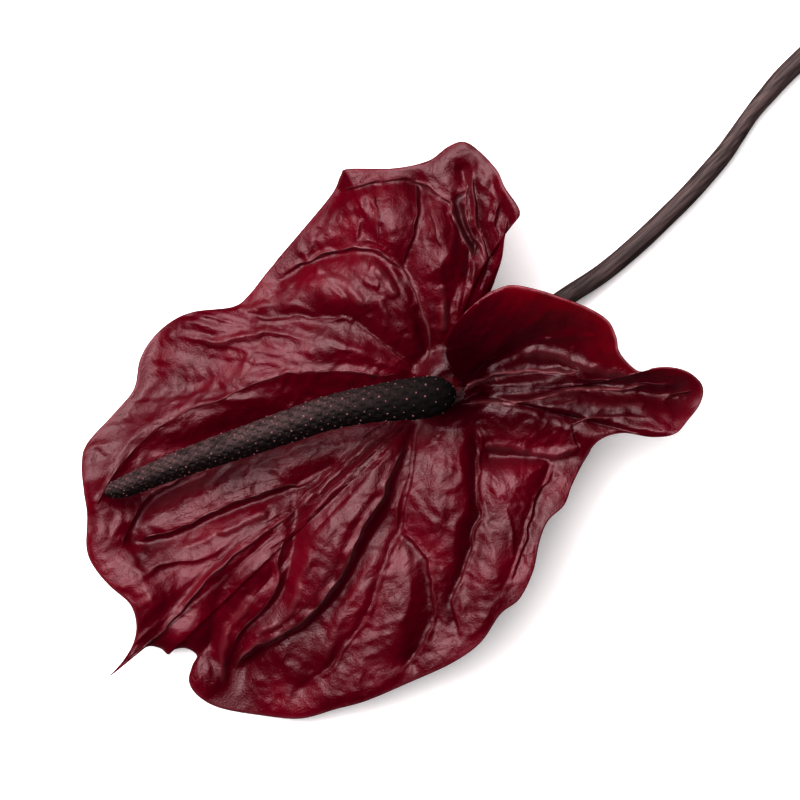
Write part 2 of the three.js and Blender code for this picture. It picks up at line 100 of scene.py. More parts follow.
# The spathe's large folds. Each row: depth at the start and the end (a negative depth is a ridge), spread to the left
# and to the right of the path, and the path from the hub outwards.
FOLDS = {
    "midrib": ((2.4, 1), (7, 7), [(-8, -6), (-20, -12.5), (-35, -26.5), (-50, -38.5), (-62, -49), (-72, -59)]),
    "midrib tail": ((-1.4, -2), (3, 4), [(-46, -35.5), (-58, -45), (-66, -53.5), (-75, -62.5), (-83, -70.5)]),
    "valley under the spadix": ((6.6, 6.5), (4.5, 13), [(-11, -6), (-29, -8), (-49, -14), (-64, -19.6),
     (-77, -25.4)]),
    "ridge above the spadix": ((-2.8, -5), (8.5, 6), [(-14, 3.2), (-26, 3.4), (-38, 4), (-48, 2.4), (-57, -0.6),
     (-66, -4.4), (-77, -10.4), (-83.5, -17.6), (-89, -28)]),
    "lower ridge": ((-1, -2.4), (1.6, 5), [(-10, -11), (-13.8, -20), (-17, -27.8), (-22, -35.4), (-27.5, -47.8),
     (-36.7, -57.8), (-50, -66)]),
    "lower valley": ((3, 4.4), (5, 2), [(-9.5, -11), (-13, -20), (-16.2, -31), (-21, -39.6), (-27, -51), (-36, -60),
     (-47, -66), (-53, -72)]),
    "bottom vein": ((1.6, 2.2), (4, 4), [(-8, -10), (-10.5, -24), (-12.6, -37), (-17, -47.5), (-21, -58), (-28, -68),
     (-37, -76)]),
    "bottom loop": ((2, 2.6), (5, 4), [(-12.4, -37), (-6.4, -42), (-4.2, -51.6), (-5, -61.5), (-9.6, -69)]),
    "side vein": ((1.1, 1.5), (3, 2.4), [(6.2, -9.5), (7, -20), (7.4, -31), (5, -42.6), (1.4, -52), (2.6, -62)]),
    "lower right crease": ((4.4, 1), (8, 2.2), [(10, -17.6), (24, -18), (23.4, -24), (20.3, -31.3), (17.5, -41),
     (13, -51)]),
    "deep groove": ((3.6, 4.2), (3.4, 2.8), [(-38.5, -31), (-39.8, -44), (-43, -53), (-51, -61), (-55, -70)]),
    "valley beside the midrib": ((2.4, 3), (5, 3), [(-45, -38), (-54, -46.5), (-59, -56), (-60.5, -68)]),
    "left vein": ((2.6, 2.6), (4, 1.6), [(-30, -20), (-43, -26.8), (-58, -32.4), (-70, -37.6), (-79, -39.5)]),
    "crease under the tip": ((2.6, 3), (4, 1.6), [(-62, -22.4), (-72.5, -27), (-77.5, -31.6), (-80.6, -37)]),
    "right lobe trough": ((3.4, 4), (7, 2.4), [(4, -2.6), (10, -2.2), (19, -2), (27, -0.6), (36, 0)]),
    "beak trough": ((2, 8), (7, 8), [(30, 0.4), (40, -0.6), (50, -1.6), (57, -2.4)]),
    "ridge under the right cord": ((-1, -3), (3, 9), [(4, -4.2), (10.4, -3.6), (19, -3.2), (32, -1)]),
    "upper fold": ((2.6, 2.2), (4.6, 4), [(-8, 3.6), (-14.2, 8.8), (-26.5, 16.6), (-39, 16.6), (-50, 18)]),
    "inner loop": ((2.6, 3.4), (4, 3.6), [(-5.2, 8.4), (-7, 17), (-10, 26), (-16.7, 32.4), (-25, 33.6), (-34, 31.6),
     (-43, 26.6)]),
    "outer loop": ((2, 2.8), (4, 3), [(-1.4, 10), (0.6, 22), (4.8, 31), (2.6, 40), (-1.7, 47), (-9, 51), (-18, 51),
     (-27, 49)]),
    "loop branch": ((2.2, 2), (2.4, 3.4), [(-11.6, 30), (-9, 37), (-7.4, 45), (-8, 51)]),
    "corner pleat": ((2, 4), (3, 2.2), [(9.4, 29), (7.4, 37), (5, 46), (3, 54)]),
    "valley above the tail": ((1.4, 3.6), (4, 8), [(-55, -40), (-63, -48), (-70, -57), (-75, -64)]),
    "ridge inside the left margin": ((-0.6, -2), (4, 4), [(-80, -33), (-80, -41), (-77.5, -48), (-74.5, -55)]),
}

# Veins and creases on the panels between the large folds. Each row: how far the cord is raised, its width, the furrow
# that goes with it, and the path. A furrow's numbers: its side (1 is left of the path, -1 is right, and 0 is along the
# path itself), its depth and its width. The upper and the right lobe lie over each other, so each has its own veins.
BLADE_VEINS = {
    "midrib": (0.55, 0.85, (1, 0.4, 1.08), [(-6, -5), (-12.5, -7.6), (-20, -13.5), (-27.5, -20.5), (-35, -27.5),
     (-42, -33.5), (-50, -39), (-58, -45.5), (-64, -52), (-70, -59), (-77, -65.5), (-84.4, -72)]),
    "midrib upper strand": (0.4, 0.68, None, [(-10, -5.8), (-14, -7.4), (-21, -11.8), (-27, -18.2), (-33, -24.2),
     (-40, -30.4), (-50, -36)]),
    "midrib lower strand": (0.35, 0.68, (1, 0.35, 0.96), [(-9, -7.5), (-14, -11), (-20, -16.8), (-27, -24),
     (-34, -31), (-41, -37.4), (-48, -43)]),
    "midrib inner strand": (0.25, 0.6, None, [(-8.5, -8.5), (-12, -12), (-17, -17.5), (-22, -23.5)]),
    "left vein": (0.5, 0.77, (1, 0.45, 1.44), [(-30, -20.5), (-36, -24), (-43, -25.3), (-50, -27.3), (-58, -30.8),
     (-66, -34.5), (-72, -37), (-80, -38)]),
    "left crest": (0.68, 1.6, (1, 0.45, 1.68), [(-45, -31.4), (-48.3, -32.8), (-56, -36), (-64, -39.5),
     (-67, -41)]),
    "left strand": (0.3, 0.68, (1, 0.35, 1.2), [(-51, -36), (-53, -37.4), (-61, -42.8), (-70, -44), (-76, -46)]),
    "pocket by the left vein": (0, 0.85, (0, 0.7, 1.92), [(-71, -37.6), (-74, -39), (-77, -42.6), (-78.4, -46)]),
    "crest under the tip": (0.45, 0.85, (1, 0.45, 1.5), [(-63, -20.8), (-66.7, -22.4), (-71.7, -25), (-75, -26.6),
     (-78.3, -30.3), (-81.7, -37), (-83, -41)]),
    "net under the spadix": (0.5, 1.2, (1, 0.3, 1.7), [(-49.6, -16), (-50.2, -22), (-50.4, -27.4)]),
    "net twig a": (0.45, 1.2, (1, 0.3, 1.5), [(-50, -19.5), (-53.3, -21.2), (-56.8, -22.8)]),
    "net twig b": (0.4, 1.2, (-1, 0.3, 1.5), [(-49.6, -19.5), (-46, -20.4), (-42.3, -20.8)]),
    "net twig c": (0.45, 1.2, (1, 0.3, 1.5), [(-55, -18.2), (-58.8, -22), (-63, -25.8)]),
    "ridge above the spadix": (0.5, 1, None, [(-8, 3.5), (-16, 3), (-24, 4), (-32.5, 3.8), (-41, 3.4), (-49.6, 0.5),
     (-58.3, -3.3), (-66.7, -6.2), (-75, -11.2), (-80.8, -17), (-84.6, -22), (-88, -27.8), (-89.6, -33.3)]),
    "upper crest": (0.6, 1.2, (1, 0.45, 1.44), [(-34, 11.4), (-40, 12.6), (-46, 14), (-50, 13), (-56, 11.8),
     (-60, 11.5), (-66.7, 13)]),
    "upper line": (0.3, 1.2, (1, 0.25, 0.96), [(-41, 5.6), (-45, 5.9), (-48.8, 5.9), (-52.5, 7.2), (-58.5, 8),
     (-62, 8.6)]),
    "low light band": (0.68, 1.4, (-1, 0.65, 1.44), [(8.6, -14), (10, -14.6), (14.7, -15), (19, -16.3),
     (24.2, -17.2), (30.2, -16.3), (33, -15)]),
    "low right diagonal": (0.35, 0.6, (1, 0.45, 1.2), [(26.4, -17.4), (25, -22.7), (22.8, -25), (21, -28.5),
     (19.4, -35.6), (18.5, -39), (16.4, -44.4), (15, -50)]),
    "low right vein": (0.3, 0.6, None, [(14, -30), (14.3, -32), (15.7, -36.6), (15.7, -43.6)]),
    "hub fold": (0.25, 0.85, (1, 0.4, 1.44), [(5.4, -8.6), (6.2, -9.8), (7.6, -12), (8.5, -15.6), (9.6, -18.6)]),
    "side vein": (0.4, 0.6, (-1, 0.75, 1.32), [(7, -9.6), (7.6, -13), (7.2, -20.8), (6.9, -25), (7.2, -28.5),
     (8, -32), (6.2, -35.6), (5.8, -39), (5.1, -42.6), (4.1, -46.1), (2, -50), (1, -54), (1.5, -57), (2.5, -61),
     (3, -65)]),
    "bottom loop": (0.4, 0.68, (-1, 0.65, 1.8), [(-11.4, -37), (-10.4, -37.4), (-7.9, -40), (-5.8, -42.8),
     (-5, -46.6), (-4.2, -51.6), (-3.75, -55.75), (-4.2, -59), (-5.4, -62.8), (-7.5, -66.2), (-9.6, -69),
     (-13.4, -73)]),
    "bottom vein left": (0.4, 0.6, None, [(-9.4, -12), (-9.8, -15), (-10, -20), (-12, -26), (-13.3, -31), (-13, -36),
     (-12.5, -38)]),
    "bottom vein right": (0.4, 0.68, (-1, 0.3, 0.96), [(-7, -9.4), (-7.9, -12), (-8.3, -18), (-9.8, -26),
     (-11, -31), (-12, -36), (-15, -41.6), (-15.8, -44), (-17, -47.4), (-18.3, -51.2), (-19.6, -55.3), (-21.7, -59),
     (-23.8, -62.4), (-26.3, -65.3), (-29.2, -70.3), (-32.5, -73), (-36.4, -76)]),
    "lower ridge": (0.95, 1.1, (1, 0.4, 1.56), [(-10.8, -11.6), (-11.7, -15), (-13.8, -19.9), (-15.8, -24),
     (-17, -27.8), (-19.2, -30.8), (-21.7, -35), (-23.8, -39), (-25.8, -44), (-27.5, -47.8), (-30.4, -51.6),
     (-33, -55.3), (-38.3, -60), (-42.5, -62.4), (-46.7, -64.3), (-50.4, -66.2), (-52.5, -67.8), (-53.8, -70.8),
     (-55, -74.4)]),
    "groove ridge west": (0.5, 0.94, (1, 0.6, 1.56), [(-41, -36), (-43, -44), (-42.8, -47), (-43.4, -50),
     (-45, -53.3), (-47.4, -56.6), (-50.4, -59.4), (-53, -62), (-55.2, -66)]),
    "groove crest east": (0.68, 1.2, None, [(-35.6, -42), (-36.3, -45), (-37.6, -49), (-38.4, -53), (-41, -57.4),
     (-46.3, -60.8), (-51.4, -64)]),
    "left bottom crest": (0.75, 1.3, (-1, 0.4, 1.68), [(-46.6, -48), (-48.8, -51.6), (-50.8, -54), (-53, -57),
     (-55.8, -60), (-56.9, -63), (-57.2, -68.7), (-57.2, -73.3), (-56.4, -76.4)]),
    "bottom twig a": (0.52, 1.3, None, [(-23, -49.4), (-24.2, -52), (-28, -59), (-30, -65), (-32, -70)]),
    "bottom twig b": (0.35, 0.85, None, [(-40.6, -65), (-41.3, -66.6), (-42.5, -69.6)]),
}
UPPER_LOBE_VEINS = {
    "upper fold cord": (0.4, 0.68, (-1, 0.45, 1.08), [(-7.5, 2.5), (-10, 5), (-11.7, 6.8), (-14.2, 8.8),
     (-16.7, 10.5), (-20, 13), (-23.8, 15.9), (-26.5, 17), (-32, 16.8), (-39, 17.2), (-45.8, 16.3), (-48.3, 17.2),
     (-51, 19.6)]),
    "little loop": (0.3, 1.2, None, [(-51, 20.5), (-45, 21), (-42.5, 22), (-39, 20.5)]),
    "inner loop": (0.6, 0.75, (1, 0.28, 1.6), [(-5.4, 5), (-5.2, 8.4), (-5.4, 13), (-6.5, 16.8), (-7.5, 20.9),
     (-8.8, 24.3), (-10.8, 26.8), (-12.5, 29.9), (-14.2, 31.3), (-16.7, 33.4), (-19.2, 34.7), (-23.3, 34.9),
     (-28, 34.5), (-31.7, 33.8), (-35, 31.8), (-37.5, 31.3), (-40.8, 29.3), (-44, 26.4)]),
    "inner loop's twin": (0.4, 0.68, None, [(-23.6, 36.1), (-22.6, 36.8), (-20, 36.9), (-16.6, 35.4)]),
    "loop crest a": (0.83, 1.6, (1, 0.3, 1.68), [(-34, 30), (-32, 29.3), (-29.2, 27.2), (-25.4, 25), (-23.3, 22.6),
     (-20.4, 19.6)]),
    "loop crest b": (0.75, 1.4, None, [(-20.4, 30.4), (-19.5, 30), (-17, 28), (-14.8, 24.8), (-13.8, 22)]),
    "loop crest c": (0.4, 0.77, None, [(-21.8, 26.4), (-20, 25.7), (-17.4, 25)]),
    "loop crest d": (0.68, 1.2, None, [(-17.6, 22.6), (-17, 20.4), (-16.5, 17), (-16.6, 14.4)]),
    "loop arc": (0.3, 1.2, (1, 0.4, 1.08), [(-33.6, 29), (-30, 25.8), (-27.6, 23.5), (-26.6, 21), (-26.6, 17.6)]),
    "loop branch": (0.4, 0.7, (-1, 0.4, 1.56), [(-12.2, 29.8), (-10.6, 34), (-9, 39.8), (-8.2, 44), (-8.3, 49),
     (-8.8, 51.5)]),
    "upper twig": (0.3, 1.2, (1, 0.3, 1.08), [(-22.6, 50), (-22.6, 49.3), (-22, 44.7), (-22.7, 39.6), (-23.6, 35.6)]),
    "upper crest inside": (0.45, 0.94, (1, 0.35, 1.2), [(-18.9, 47.4), (-18.8, 46.2), (-17.9, 42.3),
     (-18.3, 36.4)]),
    "outer loop": (0.65, 0.85, (-1, 0.3, 1.68), [(-31, 48.2), (-28.3, 49.3), (-22.4, 50.4), (-18.8, 51.4),
     (-15.5, 52.1), (-11.2, 52.4), (-7, 51.1), (-2.7, 48.4), (-0.2, 46.2), (0.5, 44.1), (2.1, 40.5), (3.6, 36.8),
     (5.2, 33.5), (5.8, 30), (5.8, 26), (4.4, 22)]),
    "pillow crest": (0.45, 0.94, (-1, 0.25, 1.2), [(-5.6, 48), (-5.2, 46.3), (-3.6, 40.6), (-3, 37), (-1.6, 33.4)]),
    "pillow crest low": (0.75, 1.2, None, [(-2.2, 25.6), (-1.8, 23.5), (-1.5, 18), (-1.7, 13)]),
    "corner wedge": (0, 0.85, (0, 1.3, 1.56), [(3.8, 49.6), (2.0, 46.4), (2.4, 44.4), (3.3, 41.4), (4.8, 38), (6, 35),
     (6.5, 31)]),
    "corner pleat a": (0.5, 0.68, None, [(4.4, 51), (4.1, 49.8), (3.9, 45.6), (4.2, 42.2), (5.6, 38.6), (7.2, 35.6),
     (8.3, 32.6), (9, 29)]),
    "corner pleat b": (0.5, 0.68, (1, 0.75, 1.32), [(5.5, 55.6), (5.3, 50.1), (6, 46), (6.4, 42.2), (7.1, 38.7),
     (8.5, 33.5), (9.5, 29.8)]),
    "corner pleat c": (0.35, 0.6, (1, 0.35, 0.96), [(12.6, 53), (12.4, 51), (12.1, 46.5), (11.5, 43.5), (11.1, 40),
     (12, 36)]),
    "corner pleat d": (0.3, 0.6, (1, 0.45, 1.08), [(14.2, 43), (13.4, 38), (12.2, 34), (11, 30)]),
    "corner crease a": (0, 0.85, (0, 0.3, 0.84), [(6.6, 45.6), (9, 48.6), (11.2, 51.4)]),
    "corner crease b": (0, 0.85, (0, 0.3, 0.84), [(6.8, 43), (9, 45.4), (11.2, 47.4)]),
    "corner crease c": (0, 0.85, (0, 0.4, 0.96), [(7.4, 39.6), (9.4, 41.6), (11.4, 43.4)]),
}
RIGHT_LOBE_VEINS = {
    "right cord above": (0.75, 0.8, (-1, 0.3, 1.32), [(2.4, -2), (5.2, 0.5), (8.7, 2.1), (13.9, 3.5), (19, 3.9),
     (25, 3.9), (30.2, 3.5), (32.4, 4.1)]),
    "right cord far": (0.4, 0.6, (-1, 0.3, 0.96), [(31, 2.4), (34.5, 1.9), (40, 1.7), (44, 1.9), (46.4, 2.6)]),
    "right cord below": (0.85, 0.85, (-1, 0.35, 1.44), [(2, -4.6), (5.2, -4.1), (10.4, -3.6), (15.6, -3.8),
     (19, -3.4), (23.3, -2.5), (27.6, -1.1), (31.9, -0.6), (37.1, -0.6), (44.9, -0.4), (47.6, 0.2), (50, 0)]),
    "right short cord": (0.35, 0.6, None, [(3.1, -3.6), (5.3, -2.2), (8, -1.3), (11.4, -0.7)]),
    "right cross cord": (0.35, 0.6, None, [(5.6, 2.8), (8, 5), (10, 6.8), (12.4, 8.4)]),
    "right crest": (0.9, 1.5, (-1, 0.35, 1.92), [(17, 8.6), (19.9, 8.7), (25, 8.2), (29.4, 7), (33.2, 5.5),
     (38.4, 3.9), (44.8, 3.1), (48, 2.4)]),
    "right high crease": (0.25, 0.77, (-1, 0.3, 1.2), [(21, 11.6), (25, 12), (31, 12.6), (37.4, 13.2)]),
    "right low crest": (0.4, 0.85, None, [(27, -4.6), (29.4, -4.2), (33, -3)]),
    "right low crest far": (0.75, 1.4, None, [(36, -5.3), (37.5, -5.1), (46.2, -4.7), (49, -5.4)]),
    "beak crest": (0.5, 0.94, (-1, 0.45, 1.56), [(53, -3.2), (54.2, -2.6), (56.9, -1.7), (62, -0.4)]),
    "beak upper crest": (0.4, 0.77, None, [(46.6, 0.8), (49.4, 0.8), (53, 0.6), (57, 1.4)]),
    "turned margin": (0.5, 0.85, (1, 0.6, 1.68), [(29.6, -10.4), (31.8, -8.9), (35.4, -8), (40, -7.4), (44.8, -7.3),
     (50, -8)]),
    "right slot": (0.3, 0.6, (1, 0.6, 0.96), [(29.8, -9.2), (30.2, -11), (31, -14.1), (32.4, -15.4)]),
}

# Puffed places on the panels, and hollows where the height is negative: x, y, half length, half width, turn in
# degrees, height.
PUFFS = [
    (-1.6, 38, 8, 3.4, 105, 1.6), (-3.4, 29, 4, 3, 30, 1.2), (-25.6, 45.6, 4, 3, 30, 1.2),
    (-14.6, 41, 7, 3, 100, 0.9), (-20, 28, 8, 5, -40, 1.2), (-31, 24, 9, 4, -30, 1.2), (-11, 20, 9, 2.6, 105, 1),
    (-30, 9, 12, 3, 0, 1), (-56, 3, 12, 4, 20, 0.8), (-70, 5, 8, 6, 30, 1), (-53, -4.4, 20, 5, 19, 1.6),
    (-80, -14.5, 13, 7, 52, -3), (-51, -74, 5, 3, 60, 1.2), (-42, -64.4, 9, 2.8, 32, 1.7), (3, -26, 13, 3.2, 88, 1.5),
    (-67, -39.5, 9, 3, 18, -1.2), (-67.5, -62, 6, 4, 5, 2), (-75, -2.2, 7, 3.4, 45, 1.4), (-58, -11, 14, 4, 20, -2),
    (20, -5, 11, 3, -3, 1.6), (-63, -3, 8, 4.5, 42, -2), (13.8, 45.5, 10, 3.8, 80, -2.6), (6.4, 47, 8, 3, 85, 1.3),
    (-40, -16, 12, 3, 18, 0.8), (-60, -25, 9, 3, 25, 0.8), (-50, -31, 8, 2, 20, 0.7), (-74, -30, 5, 3, 40, 0.7),
    (-69, -46, 9, 3, 20, -1), (-69, -54.5, 10, 6, 50, -2), (-38, -44, 9, 3.6, 60, 1.2), (-50, -47, 8, 3, 50, 1),
    (-24, -30, 12, 4, 55, 1), (-31, -46, 10, 3, 60, 1.2), (-20, -52, 10, 3.4, 65, 1.2), (-12, -58, 13, 3.6, 75, 1.2),
    (-2, -30, 16, 4, 88, 1.4), (-1, -52, 9, 3, 95, 1), (13, -24, 7, 4, 80, 1), (11, -42, 9, 4, 80, 1.2),
]

FOLD_ROUNDING = 0.6
FOLD_FADE = (4, 11)  # the folds fade in between these distances from the hub
HUB_FADE = (3.4, 8)  # and the finer relief between these
MARGIN_FADE = (0.6, 4)  # it fades out between these distances from the margin
VEIN_END = 0.14  # the share of a vein's path that each end of it takes to fade
CORD_REACH, FURROW_REACH = 3, 6  # in widths
FURROW_TIGHTNESS = 0.8
FURROW_PAST_END = 0.3
PATH_PIECES = 4  # straight pieces between two points of a path
OUTLINE_SAMPLES, SPIKE_SAMPLES = 20001, 4001
LINE_REACH = 2.4  # a fine vein line is drawn within this distance of its vein
LINE_WIDEST = 1.2  # a cord as wide as this has no fine line
LINE_RAISED, LINE_RAISED_SPAN, LINE_STRONGEST = 0.2, 0.3, 1.8
LINE_LIMITS = (0.15, 1.3)
LINE_UNEVENNESS = (0.75, 0.7, 1.9, 44)  # the mean, how far it varies, cell and seed
CORD_UNEVENNESS = (0.85, 0.4, 2.3, 43)
VEIN_WANDER = (0.35, 2.7, (41, 42))  # how far, cell and seeds

# Layers of fine relief: height, cell, seed, and whether it comes to sharp creases or stays in round bumps.
CRUMPLES = [(0.4, 7, 11, True), (0.26, 3.3, 12, True), (0.16, 1.7, 13, False), (0.06, 0.95, 16, False)]
CRUMPLE_WANDER = (1.6, 5.3, (31, 32))
WRINKLES = [(0.55, 4.4, 17, True), (0.22, 2, 18, False)]
WRINKLE_WIDTH, WRINKLE_START = 9, 1.6
WRINKLE_LEAST, WRINKLE_MORE, WRINKLE_MORE_FADE = 0.5, 0.9, (30, 70)  # the margin is more wrinkled on the left
STREAKS = [(1, 1.1, 14), (0.3, 0.5, 15)]  # share, cell and seed of the fine creases that run out from the hub
STREAK_GROWTH, STREAK_LIMIT = 0.016, 60
STREAK_TURN, STREAK_STRETCH = 10, 3
NOISE_CELLS = 64
NOISE_TURN = 2.4

# Where the skin's colour changes: painted shade over the throat at the hub and in the right lobe, painted light on the
# right lobe's upper edge, and a painted highlight along the rim.
THROAT_SHADE_CENTRE, THROAT_SHADE_SIZE, THROAT_SHADE_LOWER_END = (1, 4), 11, (-15, -9)
LOBE_SHADE, LOBE_SHADE_FADE, LOBE_SHADE_MARGIN = 0.6, (2, 16), 9
HUB_SHADE_SIZE = 6.5
RIGHT_EDGE_X, RIGHT_EDGE_Y, LIT_EDGE_WIDTH = (8, 20), (2, 7), 8
# Painted highlight along the rim, strongest on the right lobe's upper edge.
RIM_HIGHLIGHT_WIDTH, RIM_HIGHLIGHT_LEAST = 0.4, 0.25

# Along the spadix and the stem, each row: x, y, height and radius.
SPADIX = [
    (-0.8, -1.2, 22.3, 1.9), (-1, -1.4, 23.8, 2.3), (-2, -1.8, 26, 3.9), (-4.6, -2.3, 28, 4.9), (-10, -3, 28.8, 5.1),
    (-20, -4.3, 28.6, 4.5), (-30, -6.4, 27.6, 4.2), (-40, -9.7, 26, 4.05), (-50, -13.2, 23.6, 3.8),
    (-60, -16.6, 20.4, 3.55), (-70, -20.2, 16.6, 3.2), (-79.5, -24.2, 12.8, 2.75), (-84.4, -26, 11, 2.1),
    (-86.4, -26.7, 10.4, 0.9),
]

HUB_GAP = 0.3  # between the spathe and the stem's head
STEM_PRESS = 0.12  # the stem is let down this far, to lie on a narrow flat
STEM = [
    (0, 0, HUB_HEIGHT - SPATHE_THICKNESS - HUB_GAP + STEM_PRESS, 2), (0, 0, 17.6, 2.35), (1.8, 1.4, 13.2, 2.4),
    (6, 4.8, 9.4, 2.35), (12.6, 10, 6.6, 2.3), (20.8, 16.6, 4.6, 2.3), (29.1, 22.5, 3.2, 2.35), (38, 28.3, 2.4, 2.4),
    (45.6, 34.5, 2.4, 2.4), (53.1, 41.4, 2.4, 2.4), (60.7, 49, 2.4, 2.4), (68.3, 57.7, 2.3, 2.3),
    (72, 62.8, 2.1, 2.1), (75.9, 68.5, 2, 2), (79.7, 73.2, 2.15, 2.15), (87.2, 81.3, 2.4, 2.4), (107, 98.8, 2.5, 2.5),
    (140, 124.4, 2.6, 2.6), (178, 152.6, 2.7, 2.7), (216, 183, 2.8, 2.8), (252, 214, 3, 3),
]

FLORET_ROWS = 20
FLORET_SHIFT = 0.45
FLORET_PITCH = 0.86
FLORET_RELIEF = 0.17
FLORET_EDGE, FLORET_FLATNESS = 1.35, 5
LEAST_FLORET_RADIUS = 1.2
FULL_RADIUS = 5  # florets and knobs have their full size at this radius
SPADIX_RINGS = 300
SPADIX_SIDES = 120
SPADIX_GRAIN, SPADIX_GRAIN_NOISE = 0.09, (0.7, 51)  # height, and the noise's cell and seed
NECK = 3.6
BARE_TIP = 1.2
SPADIX_WAY = (-0.963, -0.27)  # the way from the hub to the spadix's tip, on the plan
LIT_SIDE_WAY = np.array([-0.42, 0.69, 0.59])  # the side of the spadix that faces the key light, whose florets get painted light and show paler
LIT_SIDE_FADE, LIT_SIDE_TIP = (0.25, 1), 0.6
FOOT_DARK_FADE = (4, 50)  # the florets are darker near the foot
KNOB_WIDTH = 0.33
KNOB_HEIGHT = 0.3
KNOB_SUNK = 0.06
KNOB_SCATTER = 0.08
KNOB_SIZES = (0.4, 1.2)
KNOB_LEAST = 0.55
KNOB_SEED = 52

STEM_SIDES = 44
STEM_RINGS = 360
STEM_CUT_SLANT = 0.5
STEM_RIBS = [(0.045, 9, 0.004), (0.03, 23, -0.01)]  # height, number and twist
STEM_LUMPS, STEM_LUMPS_AROUND, STEM_LUMPS_NOISE = 0.05, 6, (7, 21)
UPRIGHT, UPRIGHT_ACROSS = 0.3, (-0.62, 0.78, 0)  # where a spike stands upright, this way counts as across

# Colours, in sRGB.
CRIMSON = (90, 0, 24)
CRIMSON_DEEP = (73, 0, 17)
# Painted shade for the furrows and the line beside each cord; also used for a random darker mottle.
CRIMSON_SHADE_AND_MOTTLE = (60, 0, 12)
CRIMSON_CORD = (104, 56, 61)
# Painted light: brighter crimson on the right lobe's upper edge.
CRIMSON_LIT_EDGE = (106, 0, 20)
# Painted shade over the throat at the hub and in the right lobe.
CRIMSON_THROAT_SHADE = (36, 0, 5)
CRIMSON_BACK = (92, 10, 22)
# Painted highlight along the rim.
RIM_HIGHLIGHT = (168, 108, 116)
# Painted light on the spadix's side that faces the key light.
SPADIX_LIT_BROWN = (82, 62, 62)
SPADIX_DARK = (30, 14, 14)
SPADIX_FOOT_DARK = (12, 3, 3)
# Painted shade in the pits between the florets; also used for a random dark speckle.
SPADIX_PIT_SHADE_AND_SPECKLE = (5, 2, 2)
SPADIX_KNOB = (124, 86, 88)
STEM_DARK = (48, 36, 35)
STEM_LIGHT = (84, 68, 66)
STEM_CUT = (150, 140, 108)
TABLE_GREY = (238.61, 238.61, 238.61)
TABLE_PALE = (241.05, 241.05, 241.05)
SKIN_ROUGHNESS = 0.12
SKIN_IOR = 1.42
THREAD_SHARPNESS = 22  # of the light line along a vein
SHADOW_SHARPNESS, SHADOW_PLACE = 8, 0.55  # of the painted shadow line beside it, and how far beside it is

# Light: each softbox's name, angle round the view, angle above the table, distance, width, height and watts.
LIGHT_AIM = (-10, -5, 10)
LIGHT_COLOUR = (1, 0.93, 0.945)
SOFTBOXES = [
    ("key softbox", 137, 56, 1.5, 2.0, 2.4, 63),
    ("bright heart of the key", 150, 54, 1.45, 1.0, 0.8, 14),
]
STUDIO_GLOW = 0.52
TABLE_GLOW = 0.2
TABLE_REACH, TABLE_HEIGHT = 3, -0.0002  # in metres
WHITE = (1, 1, 1, 1)
VIEW_CENTRE = (-12.5, -3.25)
VIEW_WIDTH = 200
CAMERA_DISTANCE = 2000
SENSOR_WIDTH = 36
CLIP_END = 50
PRINT_CONTRAST = 0.74  # under 1, the darks go deeper and the white table stays white

# ---------------------------------------------------------------- plan helpers


def to_metres(points):
    """Plan points in millimetres, turned and moved to the flower's place, in metres."""
    points = np.array(points, float)
    cos, sin = math.cos(FLOWER_TURN), math.sin(FLOWER_TURN)
    points[:, :2] = points[:, :2] @ ((cos, sin), (-sin, cos)) + HUB_PLACE
    return points / 1000


def smooth_curve(rows, shares):
    """Points of the smooth curve through the rows, at shares of the way along their numbers."""
    rows = np.asarray(rows, float)
    padded = np.vstack([2 * rows[0] - rows[1], rows, 2 * rows[-1] - rows[-2]])
    place = np.clip(np.asarray(shares, float), 0, 1) * (len(rows) - 1)
    first = np.minimum(place.astype(int), len(rows) - 2)
    w = (place - first)[:, None]
    a, b, c, d = (padded[first + k] for k in range(4))
    return b + 0.5 * w * (c - a + w * (2 * a - 5 * b + 4 * c - d + w * (3 * (b - c) + d - a)))


def walked_length(curve):
    """The length walked along a curve up to each of its points."""
    return np.concatenate([[0], np.cumsum(np.hypot.reduce(np.diff(curve, axis=0), axis=1))])


def unit(vectors):
    """Each row's vector, made 1 long."""
    return vectors / np.maximum(np.linalg.norm(vectors, axis=1), 1e-9)[:, None]


def smoothstep(value, low, high):
    t = np.clip((value - low) / (high - low), 0, 1)
    return t * t * (3 - 2 * t)


def bell(value, width):
    """1 at 0, falling to nothing over a few widths."""
    return np.exp(-((value / width) ** 2))


def along_path(path, x, y):
    """For points of the plan: distance to a path, signed distance across it (left is positive), share along it."""
    points = smooth_curve(path, np.linspace(0, 1, PATH_PIECES * (len(path) - 1) + 1))
    steps = len(points) - 1
    near = np.full(x.shape, np.inf)
    across = np.zeros(x.shape)
    share = np.zeros(x.shape)
    for k in range(steps):
        (fx, fy), (dx, dy) = points[k], points[k + 1] - points[k]
        length = math.hypot(dx, dy)
        along = np.clip(((x - fx) * dx + (y - fy) * dy) / length**2, 0, 1)
        distance = np.hypot(x - fx - along * dx, y - fy - along * dy)
        nearer = distance < near
        near[nearer] = distance[nearer]
        across[nearer] = (((y - fy) * dx - (x - fx) * dy) / length)[nearer]
        share[nearer] = ((k + along) / steps)[nearer]
    return near, across, share


def noise(x, y, cell, seed):
    """Smooth noise between -1 and 1 over the plan, with cells of that size."""
    table = np.random.default_rng(seed).uniform(-1, 1, (NOISE_CELLS, NOISE_CELLS))
    u, v = x / cell + 10 * NOISE_CELLS, y / cell + 10 * NOISE_CELLS
    i, j = np.floor(u).astype(int), np.floor(v).astype(int)
    a, b = smoothstep(u - i, 0, 1), smoothstep(v - j, 0, 1)
    corner = [[table[(i + p) % NOISE_CELLS, (j + q) % NOISE_CELLS] for q in (0, 1)] for p in (0, 1)]
    low, high = (corner[0][q] * (1 - a) + corner[1][q] * a for q in (0, 1))
    return low * (1 - b) + high * b


